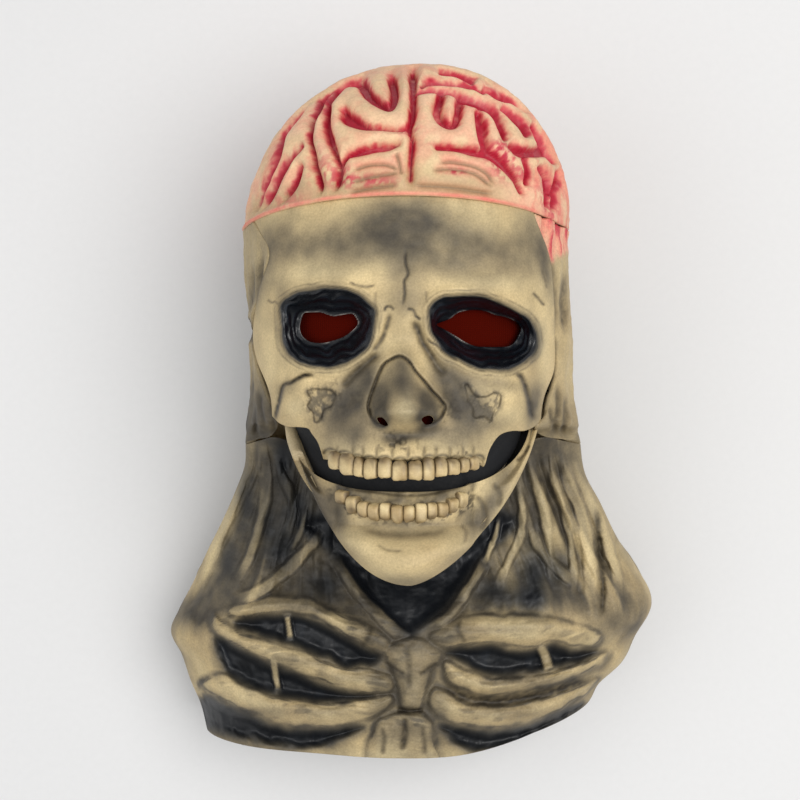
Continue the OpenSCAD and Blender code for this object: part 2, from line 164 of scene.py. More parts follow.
def noise(p, scale, shift=0.0):
    """Smooth value noise from -1 to 1 with features of the size scale."""
    q = p / scale + 7.31 * shift + 100
    i = np.floor(q).astype(int)
    f = ease(q - i)
    i = i % 32
    j = (i + 1) % 32
    total = 0
    for ex in (0, 1):
        for ey in (0, 1):
            for ez in (0, 1):
                x, y, z = (j if e else i for e in (ex, ey, ez))
                share = ((f[..., 0] if ex else 1 - f[..., 0]) * (f[..., 1] if ey else 1 - f[..., 1])
                         * (f[..., 2] if ez else 1 - f[..., 2]))
                total = total + share * LATTICE[x[..., 0], y[..., 1], z[..., 2]]
    return 2 * total - 1


def rough(p, scale, octaves=3, shift=0.0):
    return sum(noise(p, scale / 2**k, shift + k) / 2**k for k in range(octaves))


def grid_normals(g, wrap=False):
    if wrap:
        across = np.roll(g, -1, 1) - np.roll(g, 1, 1)
    else:
        across = np.gradient(g, axis=1)
    n = np.cross(across, np.gradient(g, axis=0))
    size = np.linalg.norm(n, axis=-1, keepdims=True)
    n = n / np.maximum(size, 1e-9)
    n[-1] = np.where(size[-1] < 1e-6, n[-2], n[-1])
    return n


def plan_scale(z):
    return (VIEW_Z - z) / (VIEW_Z - PLAN_Z)


class Relief:
    """Heights and paints over a grid of points."""

    def __init__(self, grid, wrap=False):
        self.grid = grid
        self.normal = grid_normals(grid, wrap)
        scale = plan_scale(grid[..., 2])
        self.x = grid[..., 0] / scale
        self.y = grid[..., 1] / scale
        self.lift = np.zeros(self.x.shape)
        self.layers = {}
        self.front = np.ones(self.x.shape, bool)

    def layer(self, name):
        if name not in self.layers:
            self.layers[name] = np.zeros(self.x.shape)
        return self.layers[name]

    def paint(self, name, where, amount):
        found = self.layer(name)
        found[where] = np.maximum(found[where], amount)

    def near(self, line, reach):
        low, high = line[:, :2].min(0) - reach, line[:, :2].max(0) + reach
        where = ((self.x > low[0]) & (self.x < high[0]) & (self.y > low[1]) & (self.y < high[1])
                 & self.front)
        return where, self.x[where], self.y[where]

    def stroke(self, points, width, lift, ink=0.0, spread=1.0, fade=0.15, layer="ink"):
        """Ridge (lift above 0) or groove along a curve, with ink laid along it; in folds and under lips that
        ink is painted shade.
        """
        line = spline(points)
        reach = 2.6 * width * max(1.0, spread)
        where, px, py = self.near(line, reach)
        d, t, _, _ = nearest(px, py, line)
        taper = ease(t / fade) * ease((1 - t) / fade)
        self.lift[where] += lift * taper * np.exp(-((d / width) ** 2))
        if ink:
            self.paint(layer, where, ink * taper * np.exp(-((d / (width * spread)) ** 2)))

    def lip(self, points, reach, lift, fade=0.15):
        """Step that stands up on the left of a curve and falls away over the reach."""
        line = spline(points)
        where, px, py = self.near(line, 3 * reach)
        d, t, side, _ = nearest(px, py, line)
        taper = ease(t / fade) * ease((1 - t) / fade)
        self.lift[where] += lift * taper * (side > 0) * ease(d / 0.8) * np.exp(-((d / reach) ** 2))

    def depth_in(self, points):
        """Where the curve's inside is, and the distance in from its edge (negative outside)."""
        line = spline(points, closed=True)
        where, px, py = self.near(line, 14)
        d = nearest(px, py, line)[0]
        return where, np.where(inside(px, py, line[:, :2]), d, -d)

    def slab(self, points, lift, edge, ink=0.0, layer="ink", soft=1.5):
        """Region raised or sunk with a rounded edge."""
        where, d = self.depth_in(points)
        s = np.clip(d / edge, 0, 1)
        self.lift[where] += lift * np.sqrt(1 - (1 - s) ** 2)
        if ink:
            self.paint(layer, where, ink * ease(0.5 + d / (2 * soft)))

    def blob(self, x, y, rx, ry, lift=0.0, ink=0.0, layer="smoke", turn=0.0):
        c, s = np.cos(np.radians(turn)), np.sin(np.radians(turn))
        u, v = self.x - x, self.y - y
        g = np.exp(-(((c * u + s * v) / rx) ** 2) - ((c * v - s * u) / ry) ** 2) * self.front
        self.lift += lift * g
        if ink:
            self.layer(layer)[...] += ink * g

    def raised(self, along_view):
        """The grid with its heights, raised towards the viewing point or along the normals."""
        if not along_view:
            return self.grid + self.normal * self.lift[..., None]
        z = self.grid[..., 2] + self.lift
        scale = plan_scale(z)
        return np.stack([self.x * scale, self.y * scale, z], -1)


# --- Meshes ---


def shell(name, outer, inner, wrap=False, holes=None):
    """Closed sheet between two grids, open where holes is true for a cell."""
    rows, cols = outer.shape[:2]
    i, j = np.meshgrid(np.arange(rows - 1), np.arange(cols if wrap else cols - 1), indexing="ij")
    keep = np.ones(i.shape, bool) if holes is None else ~holes
    i, j = i[keep], j[keep]
    k = (j + 1) % cols
    quads = np.stack([i * cols + j, i * cols + k, (i + 1) * cols + k, (i + 1) * cols + j], 1)
    edges = np.vstack([quads[:, [a, (a + 1) % 4]] for a in range(4)])
    n = rows * cols
    code = edges[:, 0] * n + edges[:, 1]
    back = edges[:, 1] * n + edges[:, 0]
    rim = edges[~np.isin(code, back)]
    walls = np.stack([rim[:, 1], rim[:, 0], rim[:, 0] + n, rim[:, 1] + n], 1)
    faces = np.vstack([quads, quads[:, ::-1] + n, walls])
    points = np.vstack([outer.reshape(-1, 3), inner.reshape(-1, 3)])
    return mesh_object(name, points, faces), rim


def mesh_object(name, points, faces):
    mesh = bpy.data.meshes.new(name)
    mesh.from_pydata(((points + PLACE) * MM).tolist(), [], np.asarray(faces).tolist())
    mesh.update()
    obj = bpy.data.objects.new(name, mesh)
    bpy.context.scene.collection.objects.link(obj)
    mesh.polygons.foreach_set("use_smooth", np.ones(len(mesh.polygons), bool))
    return obj


def linear(colour):
    c = np.asarray(colour, float) / 255
    return np.where(c <= 0.04045, c / 12.92, ((c + 0.055) / 1.055) ** 2.4)


def coat(base, colour, amount):
    return base + (np.array(colour, float) - base) * np.clip(amount, 0, 1)[..., None]


def tint(obj, colours, gloss):
    """Paint colours (0 to 255) and gloss (0 to 1) held by the points of a mesh."""
    n = len(obj.data.vertices)
    rgba = np.ones((n, 4), np.float32)
    rgba[:, :3] = linear(np.clip(colours, 0, 255))
    made = obj.data.attributes.new("tint", "FLOAT_COLOR", "POINT")
    made.data.foreach_set("color", rgba.ravel())
    made = obj.data.attributes.new("gloss", "FLOAT", "POINT")
    made.data.foreach_set("value", np.asarray(gloss, np.float32).ravel())


def tidy_mesh(obj):
    """Merges points that meet and drops points that no face uses."""
    bm = bmesh.new()
    bm.from_mesh(obj.data)
    loose = [v for v in bm.verts if not v.link_faces]
    bmesh.ops.delete(bm, geom=loose, context="VERTS")
    bmesh.ops.remove_doubles(bm, verts=bm.verts, dist=1e-6)
    bm.to_mesh(obj.data)
    bm.free()


# --- Materials ---


def material(name):
    mat = bpy.data.materials.new(name)
    mat.use_nodes = True
    return mat, mat.node_tree, mat.node_tree.nodes["Principled BSDF"]


def add_node(tree, kind, **values):
    made = tree.nodes.new(kind)
    for key, value in values.items():
        setattr(made, key, value)
    return made


def noise_node(tree, scale, detail=3.0, roughness=0.55, stretch=None):
    place = add_node(tree, "ShaderNodeTexCoord")
    made = add_node(tree, "ShaderNodeTexNoise")
    made.inputs["Scale"].default_value = scale
    made.inputs["Detail"].default_value = detail
    made.inputs["Roughness"].default_value = roughness
    if stretch:
        scaled = add_node(tree, "ShaderNodeVectorMath", operation="MULTIPLY")
        scaled.inputs[1].default_value = stretch
        tree.links.new(place.outputs["Object"], scaled.inputs[0])
        tree.links.new(scaled.outputs[0], made.inputs["Vector"])
    else:
        tree.links.new(place.outputs["Object"], made.inputs["Vector"])
    return made


def map_range(tree, source, a, b, low, high):
    made = add_node(tree, "ShaderNodeMapRange")
    for key, value in (("From Min", a), ("From Max", b), ("To Min", low), ("To Max", high)):
        made.inputs[key].default_value = value
    tree.links.new(source, made.inputs["Value"])
    return made.outputs["Result"]


def painted_latex(name, dull, shiny, speckle=0.16, grain=900.0, bump_depth=0.00018):
    """Airbrushed latex: held colours broken up by fine speckle, with pores and a soft sheen."""
    mat, tree, shader = material(name)
    colour = add_node(tree, "ShaderNodeAttribute", attribute_name="tint")
    gloss = add_node(tree, "ShaderNodeAttribute", attribute_name="gloss")
    fine = noise_node(tree, grain, 4.0, 0.65)
    wide = noise_node(tree, grain / 14, 3.0, 0.6)
    light = map_range(tree, fine.outputs["Fac"], 0.3, 0.7, 1 - speckle, 1 + speckle)
    patch = map_range(tree, wide.outputs["Fac"], 0.3, 0.7, 1 - speckle * 0.5, 1 + speckle * 0.5)
    both = add_node(tree, "ShaderNodeMath", operation="MULTIPLY")
    tree.links.new(light, both.inputs[0])
    tree.links.new(patch, both.inputs[1])
    scaled = add_node(tree, "ShaderNodeVectorMath", operation="SCALE")
    tree.links.new(colour.outputs["Color"], scaled.inputs[0])
    tree.links.new(both.outputs[0], scaled.inputs["Scale"])
    tree.links.new(scaled.outputs[0], shader.inputs["Base Color"])
    sheen = map_range(tree, gloss.outputs["Fac"], 0, 1, dull, shiny)
    tree.links.new(sheen, shader.inputs["Roughness"])
    pores = noise_node(tree, grain * 1.3, 5.0, 0.7)
    relief = add_node(tree, "ShaderNodeBump")
    relief.inputs["Strength"].default_value = 0.55
    relief.inputs["Distance"].default_value = bump_depth
    tree.links.new(pores.outputs["Fac"], relief.inputs["Height"])
    tree.links.new(relief.outputs["Normal"], shader.inputs["Normal"])
    shader.inputs["Specular IOR Level"].default_value = 0.4
    return mat


def plain(name, colour, roughness, metallic=0.0, grain=600.0, vary=0.12, depth=0.0001, stretch=None):
    """Moulded, woven or rolled stock with fine grain in its colour, gloss and relief."""
    mat, tree, shader = material(name)
    grain_noise = noise_node(tree, grain, 4.0, 0.6, stretch)
    low, high = linear(colour) * (1 - vary), linear(colour) * (1 + vary)
    ramp = add_node(tree, "ShaderNodeValToRGB")
    ramp.color_ramp.elements[0].position = 0.3
    ramp.color_ramp.elements[0].color = (*low, 1)
    ramp.color_ramp.elements[1].position = 0.7
    ramp.color_ramp.elements[1].color = (*np.minimum(high, 1), 1)
    tree.links.new(grain_noise.outputs["Fac"], ramp.inputs["Fac"])
    tree.links.new(ramp.outputs["Color"], shader.inputs["Base Color"])
    sheen = map_range(tree, grain_noise.outputs["Fac"], 0.3, 0.7, roughness - 0.06, roughness + 0.06)
    tree.links.new(sheen, shader.inputs["Roughness"])
    relief = add_node(tree, "ShaderNodeBump")
    relief.inputs["Strength"].default_value = 0.5
    relief.inputs["Distance"].default_value = depth
    tree.links.new(grain_noise.outputs["Fac"], relief.inputs["Height"])
    tree.links.new(relief.outputs["Normal"], shader.inputs["Normal"])
    shader.inputs["Metallic"].default_value = metallic
    return mat


def woven(name, colour, pitch, roughness, vary=0.35):
    """Plain weave: threads that cross at the pitch, in metres."""
    mat, tree, shader = material(name)
    place = add_node(tree, "ShaderNodeTexCoord")
    threads = []
    for axis in ("X", "Y"):
        wave = add_node(tree, "ShaderNodeTexWave", wave_type="BANDS", bands_direction=axis)
        wave.inputs["Scale"].default_value = 0.314 / pitch
        wave.inputs["Distortion"].default_value = 0.4
        wave.inputs["Detail"].default_value = 2.0
        tree.links.new(place.outputs["Object"], wave.inputs["Vector"])
        threads.append(wave.outputs["Fac"])
    cross = add_node(tree, "ShaderNodeMath", operation="MULTIPLY")
    tree.links.new(threads[0], cross.inputs[0])
    tree.links.new(threads[1], cross.inputs[1])
    ramp = add_node(tree, "ShaderNodeValToRGB")
    ramp.color_ramp.elements[0].color = (*(linear(colour) * (1 - vary)), 1)
    ramp.color_ramp.elements[1].color = (*np.minimum(linear(colour) * (1 + vary), 1), 1)
    tree.links.new(cross.outputs[0], ramp.inputs["Fac"])
    tree.links.new(ramp.outputs["Color"], shader.inputs["Base Color"])
    relief = add_node(tree, "ShaderNodeBump")
    relief.inputs["Strength"].default_value = 0.6
    relief.inputs["Distance"].default_value = pitch * 0.3
    tree.links.new(cross.outputs[0], relief.inputs["Height"])
    tree.links.new(relief.outputs["Normal"], shader.inputs["Normal"])
    shader.inputs["Roughness"].default_value = roughness
    shader.inputs["Specular IOR Level"].default_value = 0.06
    return mat


# --- Base surfaces, the same formulas as the CAD source ---

LEFT_SIDE = [(-200, -117), (-183, -122), (-170, -128), (-153, -134), (-140, -140), (-127, -135),
             (-110, -125.5), (-89, -115), (-73, -106), (-52, -95), (-37, -88.5), (-22, -87), (0, -84),
             (40, -84), (97, -86.4)]
RIGHT_SIDE = [(-192, 108), (-180, 117), (-171, 122), (-158, 136), (-142, 144), (-124, 153.2),
              (-98, 141), (-84, 131), (-60, 117), (-42, 106), (-22, 101.5), (2, 97.5), (34, 96.5),
              (51, 94.5), (79, 92.5), (97, 93.6)]
SIDE_SEAM_Z = [(-200, 34), (-183, 28), (-140, 25), (-124, 27), (-110, 36), (-89, 48), (-73, 60),
               (-52, 80), (-37, 92), (-22, 100)]
BIB_CREST_Z = [(-204, 95), (-185, 103), (-170, 108), (-155, 112), (-140, 116), (-125, 118),
               (-112, 110), (-100, 102), (-90, 98), (-75, 104), (-60, 108), (-40, 114), (-14, 120)]
FACE_CREST_Z = [(-45, 206), (-25, 207), (-12, 205), (10, 203), (28, 201), (40, 203), (55, 205),
                (70, 203), (85, 199.5), (97, 197), (104, 195)]
FACE_HALF = [(-45, 56), (-30, 60), (-15, 76), (0, 80), (20, 84), (45, 86.5), (75, 88.5), (97, 90),
             (104, 90)]
# Side edges of the face on the plan
LEFT_EDGE = [(-14, -61.5), (-10, -62.5), (-5.5, -64), (11, -69), (29.5, -73.5), (41.5, -73), (58, -69.5),
             (75.5, -65.5), (86, -71), (95, -76)]
RIGHT_EDGE = [(-15.5, 64.5), (-11.5, 69), (-5.5, 72.5), (-0.5, 73.5), (13, 77), (31, 77.5), (49.5, 77),
              (76, 73.5), (85, 70), (93, 67), (99, 66)]
BIB_TOP_X = [(0, -87), (0.06, -78), (0.12, -69), (0.18, -59), (0.24, -52), (0.3, -45), (0.37, -34),
             (0.44, -18), (0.5, 3), (0.56, 22), (0.63, 38), (0.7, 50), (0.76, 59), (0.82, 69),
             (0.88, 79), (0.94, 90), (1, 101.5)]
BIB_TOP_Y = [(0, -25), (0.06, -22.5), (0.12, -20.5), (0.18, -24), (0.24, -35), (0.3, -47),
             (0.37, -60), (0.44, -70), (0.5, -74), (0.56, -70), (0.63, -60), (0.7, -47), (0.76, -35),
             (0.82, -24), (0.88, -20.5), (0.94, -22.5), (1, -25)]
HEM_Y = [(0, -198), (0.12, -200), (0.3, -201), (0.5, -203.4), (0.68, -202), (0.8, -196), (0.9, -189),
         (1, -180)]
JAW_RISE = [(0, 0), (0.12, 2), (0.35, 3.5), (0.66, 17), (0.86, 13), (1, 0)]
ROUND_P = 2.3
BRAIN_P = 2.0
CROWN_H = 87.5


def seam_y(x, z):
    """Line where the brain meets the skull, bowed upwards across the forehead."""
    bow = 4.2 - 8.0 * np.minimum(1, ((x - 1) / 84) ** 2)
    return SEAM_Y + mix(-3.8, bow, ease((z - AXIS_Z) / 30))


def face_z(x, y):
    return (AXIS_Z + (lookup(y, FACE_CREST_Z) - AXIS_Z) * root((x - FACE_MID) / lookup(y, FACE_HALF), ROUND_P)
            + 5 * bump(x, y, -54, 0, 14, 10) + 5 * bump(x, y, 59, 1, 14, 11))


def side_half(y):
    return (lookup(y, RIGHT_SIDE) - lookup(y, LEFT_SIDE)) / 2


def side_mid(y):
    return (lookup(y, RIGHT_SIDE) + lookup(y, LEFT_SIDE)) / 2


def bib_z(x, y):
    low = lookup(y, SIDE_SEAM_Z)
    return (low + (lookup(y, BIB_CREST_Z) - low) * root((x - side_mid(y)) / side_half(y), ROUND_P)
            + 14 * bump(x, y, -68, -12, 10, 12) + 14 * bump(x, y, 76, -12, 12, 12))


def true_edge(y, edge):
    """X at which the face's side edge stands, from its place on the plan."""
    scale = np.full(np.shape(y), 1.06)
    for _ in range(12):
        x = lookup(y / scale, edge) * scale
        scale = mix(scale, plan_scale(face_z(x, y)), 0.6)
    return x


def edge_x(y, right):
    edge, side = (RIGHT_EDGE, RIGHT_SIDE) if right else (LEFT_EDGE, LEFT_SIDE)
    low = np.clip((y - EAR_Y) / (CHEEK_Y - EAR_Y), 0, 1)
    below = mix(lookup(y, side), true_edge(np.array(CHEEK_Y), edge), 0.06 + 0.94 * low**0.25)
    return np.where(y > CHEEK_Y, true_edge(y, edge), below)


def edge_z(y, right):
    corner = face_z(edge_x(np.array(CHEEK_Y), right), CHEEK_Y)
    low = mix(AXIS_Z + 6, corner, np.maximum(0, y - EAR_Y) / (CHEEK_Y - EAR_Y))
    return np.where(y > CHEEK_Y, face_z(edge_x(y, right), y), low)


def brain_point(q, a):
    """Brain at the angle q from the seam (0) to the crown (90) and a once round, in degrees."""
    p, q, a = q / 90, np.radians(q), np.radians(a)
    size = np.maximum(np.cos(q), 0) ** (2 / BRAIN_P)
    e = 2 / ROUND_P
    c, s = power(np.cos(a), e), power(np.sin(a), e)
    x = FACE_MID + 8.5 * p + 90 * size * c
    drop = np.where(s > 0, 97.0, AXIS_Z + 2 + 4 * p)
    z = np.maximum(0, AXIS_Z + 6 * p + drop * size * s)
    y = seam_y(x, z) * 1.0
    base = mix(y, SEAM_Y, np.sin(q) ** (2 / BRAIN_P))
    return np.stack([x, base + CROWN_H * np.sin(q) ** (2 / BRAIN_P), z], -1)


def jaw_curve(a, half_left, half_right, deep, p_end, p_mid, p_right):
    """Outline of the jaw seen from above, fuller on its left side than on its right."""
    share = -np.cos(a)
    p = np.where(share < 0, mix(p_mid, p_end, np.abs(share)), p_right)
    return 5 + share * np.where(share < 0, half_left, half_right), -2 - deep * root(share, p)


def ledge_z(x):
    return 158.5 + np.sqrt(np.maximum(350, 39.9**2 - (x - TEETH_MID) ** 2))


def jaw_point(a, t):
    """Jaw at a degrees from its left end (0) to its right end (180) and t from rim to underside."""
    a = np.radians(a)
    c = np.abs(np.cos(a))
    w = np.minimum(1, t)
    curl = np.maximum(0, t - 1)
    rim_x, rim_y = jaw_curve(a, 64, 65, 44, 3, 3, 2.4)
    low_x, low_y = jaw_curve(a, 65, 71, 90, 1.5, 1.95, 1.48)
    x, y = mix(rim_x, low_x, w), mix(rim_y, low_y, w)
    free = mix(138 + 51 * root(c, 1.9), 131 + 66 * root(c, 1.8), w) + lookup(w, JAW_RISE) * np.sin(a) ** 2
    middle = ease((42 - np.abs(x - TEETH_MID)) / 16)
    ledge = ledge_z(x) + 1.6 * middle * np.maximum(0, -62.5 - y)
    z = (free + ledge - np.sqrt((free - ledge) ** 2 + 6)) / 2
    return np.stack([mix(x, JAW_MID, 0.06 * curl), y + 5 * curl, z - curl * (7 + 19 * np.sin(a))], -1)


def even(profile, count):
    """Shares of the way that space a profile's points evenly."""
    s = np.linspace(0, 1, len(profile))
    steps = np.linalg.norm(np.diff(profile, axis=0), axis=1)
    run = np.concatenate([[0], np.cumsum(steps)])
    return np.interp(np.linspace(0, run[-1], count), run, s)


# --- Colours as the eye sees them, 0 to 255 ---

BONE = (205, 184, 138)
BONE_DEEP = (166, 142, 100)
BONE_LIGHT = (219, 200, 154)
SMOKE = (66, 60, 50)
# Dark brown wash for cracks and creases, also used for painted shade in folds and under lips
CREASE_WASH_AND_SHADE = (40, 34, 24)
INK = (13, 16, 21)
RAW_LATEX = (188, 170, 134)
CREAM = (222, 182, 148)
BLOOD = (176, 22, 48)
BLOOD_DEEP = (110, 8, 30)
SALMON = (216, 112, 98)
CUT_EDGE = (206, 196, 186)
SHEEN = (46, 54, 64)


def bone_colours(relief, points):
    """Bone base with warm patches, painted highlights, grey airbrush with painted shade in it, a dark wash in
    the creases that partly stands for their shade, black paint and painted sheen.
    """
    warm = 0.5 + 0.5 * rough(points, 26, 3, 1)
    c = np.broadcast_to(np.array(BONE, float), points.shape).copy()
    c = coat(c, BONE_DEEP, 0.55 * warm)
    # Painted highlights on the high points, and the paler hem of the bib
    c = coat(c, BONE_LIGHT, relief.layers.get("light", 0 * warm))
    mottle = 1 + 0.16 * rough(points, 6, 2, 5)
    # Grey airbrush, with painted shade laid in where hollows, folds and turned-away sides fall dark
    c = coat(c, SMOKE, np.clip(relief.layers.get("smoke", 0 * warm), 0, 0.9) * mottle)
    # Dark wash in cracks and creases, partly painted shade in folds, ring troughs and under lips
    c = coat(c, CREASE_WASH_AND_SHADE, relief.layers.get("ink", 0 * warm) * (0.85 + 0.3 * rough(points, 2.2, 2, 2)))
    c = coat(c, INK, relief.layers.get("black", 0 * warm))
    # Painted sheen: bluish reflection on the crests of the socket rings and on the pocket floors
    c = coat(c, SHEEN, relief.layers.get("ring", 0 * warm))
    c = coat(c, SALMON, relief.layers.get("salmon", 0 * warm))
    c = coat(c, CUT_EDGE, relief.layers.get("cut", 0 * warm))
    return c


def finish_skin(name, relief, mat, replaces, along_view=True, wrap=False, holes=None,
                colours=bone_colours, gloss=None, body="head", thickness=SKIN, outer=None):
    """Makes the closed latex skin of a relief, painted outside and raw inside."""
    outer = relief.raised(along_view) if outer is None else outer
    inner = outer - relief.normal * thickness
    inner[..., 2] = np.maximum(inner[..., 2], 0.4)
    outer[..., 2] = np.maximum(outer[..., 2], 0.0)
    obj, _ = shell(name, outer, inner, wrap=wrap, holes=holes)
    paint = colours(relief, outer).reshape(-1, 3)
    n = len(paint)
    raw = np.array(RAW_LATEX) * (1 + 0.06 * rough(inner.reshape(-1, 3), 9, 2, 3)[:, None])
    raw = coat(raw, INK, 0.95 * relief.layers.get("black", 0 * relief.x).reshape(-1))
    shine = np.zeros(n) if gloss is None else gloss.reshape(-1)
    tint(obj, np.vstack([paint, raw]), np.concatenate([shine, np.zeros(n)]))
    tidy_mesh(obj)
    obj.data.materials.append(mat)
    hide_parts(*replaces)
    if body:
        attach(obj, body)
    return obj


# --- Skull face ---

LEFT_SOCKET = [(-59, 38.4), (-59, 48), (-52, 53), (-39.3, 55.6), (-27, 54.5), (-20, 51.8), (-14.5, 47),
               (-12.8, 43.8), (-13.5, 36), (-15.5, 29), (-17.6, 25.3), (-24, 20), (-32, 17), (-38, 16.4),
               (-46, 18), (-52, 20.5), (-56.5, 24), (-58.8, 31)]
RIGHT_SOCKET = [(15, 45.2), (19.8, 50.3), (27.8, 52), (40.7, 51.4), (51.7, 47.7), (60.8, 43), (65.3, 39),
                (67.7, 32.3), (67, 25), (63.5, 20.6), (57.2, 16.2), (51.7, 15), (40.7, 15.8),
                (35.5, 17.7), (29.7, 20.6), (23, 23.5), (18.7, 29.8), (15.7, 34.9)]
LEFT_EYE = [(-48.2, 43.2), (-44.7, 43.8), (-39.6, 43.8), (-35.8, 42.5), (-32.9, 41.9), (-29.4, 42.5),
            (-24, 43.1), (-22, 41), (-21, 38.4), (-23.3, 35.2), (-28, 31.7), (-33, 29.8), (-37.7, 28.6),
            (-42.1, 28.6), (-45.6, 29.4), (-48.8, 32), (-50.1, 35.8), (-49.5, 39.6)]
RIGHT_EYE = [(18.3, 37.8), (24.5, 40.4), (29.7, 43.9), (37, 45), (42.9, 44.3), (48, 42.4), (51.7, 41.7),
             (56.4, 40), (60.1, 36.7), (59.7, 33.4), (57.5, 29.4), (55.3, 27.2), (51.7, 26.6),
             (42.5, 26.6), (37.7, 27), (32.6, 29), (27.8, 32), (22.3, 35.3)]
LEFT_NOSTRIL = [(-12, -8.8), (-9.6, -8.4), (-7.3, -10.2), (-6, -12.8), (-8.4, -12.6), (-10.6, -11.4)]
RIGHT_NOSTRIL = [(10.8, -9.8), (12.8, -7.9), (15.6, -7.7), (17.2, -9.4), (16, -11.6), (13, -12.4)]
# Lower edge of the face from the left side edge along the gum line to the right
FACE_LOW = [(-64, -8), (-60.5, -11.5), (-56, -13.3), (-50, -13.6), (-46, -14.3), (-44, -17),
            (-41.5, -20.5), (-40, -24), (-38.8, -28), (-37.5, -29.8), (-28, -29.4), (-14, -30), (2, -30.6),
            (18, -30.2), (31, -30), (40, -31.5), (41.5, -33.5), (42.8, -31.5), (44, -27), (46, -22.5),
            (50, -17.5), (56, -15.5), (62, -15.5), (67, -13.5), (70.5, -10.5)]
TOOTH_EDGES = [-38, -31.8, -24.2, -19, -12, -4.2, 3.8, 11.8, 17.8, 24.8, 31.2, 36.5, 41.5]
GUM_LINE = [(-45, -23.5), (-34, -24.8), (-24, -27), (-12, -28.4), (3, -29), (12, -28.3), (30, -27.9),
            (45, -28.5)]
NASAL_RIM = [(-11.6, -10.7), (-14.2, -8.2), (-16, -4.1), (-15.2, 1), (-13.2, 6.6), (-10.6, 13.3),
             (-8.1, 17.9), (-4.5, 20.4), (-0.9, 21.9), (2.1, 21.2), (5.2, 18.4), (7.8, 14.3), (12.3, 9.2),
             (15.9, 4.6), (19, 1.5), (21.5, -1.5), (22.6, -3.6), (21, -7.7), (19, -10.2)]


def face_grid(rows, cols):
    """Fine grid of the face, set out on the plan and brought to its true place."""
    low = spline(FACE_LOW)
    steps = np.linalg.norm(np.diff(low[:, :2], axis=0), axis=1)
    run = np.concatenate([[0], np.cumsum(steps)])
    share = (low[:, 0] - low[0, 0]) / (low[-1, 0] - low[0, 0])
    share = np.maximum.accumulate(share + np.arange(len(share)) * 1e-6)
    u = np.interp(np.linspace(0, run[-1], cols), run, share)
    u = mix(u, np.linspace(0, 1, cols), 0.5)
    low_x, low_y = np.interp(u, share, low[:, 0]), np.interp(u, share, low[:, 1])
    v = np.linspace(0, 1, rows)[:, None]
    z = np.full((rows, cols), 195.0)
    low_z = np.full(cols, 195.0)
    for _ in range(4):
        low_s = plan_scale(low_z)
        low_z = face_z(low_x * low_s, low_y * low_s)
    for _ in range(6):
        bottom = low_y * low_s
        x_now = mix(-75, 75, u)
        top = seam_y(x_now, np.full(cols, 190.0)) + 1.2
        y = mix(bottom, top, v)
        left, right = edge_x(np.maximum(y, CHEEK_Y + 0.1), False), edge_x(np.maximum(y, CHEEK_Y + 0.1), True)
        across = mix(left, right, u)
        x = mix(low_x * low_s, across, ease(v * 3.5))
        z = face_z(x, y)
    return np.stack([x, y, z], -1)


def socket_relief(r, outline, hole, depth):
    """Black painted eye socket with wrinkled rings and a raised brow round it, with painted shade in the
    troughs of the outer rings and painted sheen on the crests of the inner ones.
    """
    where, d = r.depth_in(outline)
    line = spline(hole, closed=True)
    px, py = r.x[where], r.y[where]
    to_hole = nearest(px, py, line)[0] * np.where(inside(px, py, line[:, :2]), -1, 1)
    share = np.clip(d / np.maximum(d + np.maximum(to_hole, 0), 1e-6), 0, 1)
    p = r.grid[where]
    wobble = rough(p, 7, 2, 4)
    rings = np.sin(6.5 * share * np.pi + 4 * wobble) * 0.36 * ease(d / 1.5) * ease(to_hole / 2)
    fall = depth * ease(share * 0.92 + 0.04 * (d > 0)) * (d > 0)
    outer_rings = np.sin(2.3 * d + 1.5 * wobble) * 0.3 * ease((d + 6) / 3) * ease(-d / 1.5)
    r.lift[where] += -fall + rings + outer_rings + 1.9 * np.exp(-(((d + 2.4) / 2.6) ** 2))
    edge = 0.5 + (d + 0.5 * wobble) / 1.3
    r.paint("black", where, ease(edge))
    r.paint("smoke", where, 0.62 * ease((d + 5) / 6.5))
    # Painted shade in the troughs of the outer rings
    r.paint("ink", where, 0.6 * ease(-outer_rings / 0.3) * ease((d + 5) / 4))
    # Painted sheen on the crests of the inner rings
    r.paint("ring", where, 0.6 * ease(edge) * np.clip(rings / 0.36, 0, 1) ** 2 * ease(0.3 + wobble))
    r.paint("cut", where, np.exp(-((to_hole / 0.4) ** 2)) * np.clip(0.5 + 0.9 * rough(p, 9, 2, 9), 0, 1))
    toward_view = unit(np.array([0, 0, VIEW_Z]) - p)
    m = ease((d + 5) / 4)[..., None]
    r.normal[where] = unit(mix(r.normal[where], toward_view, m))


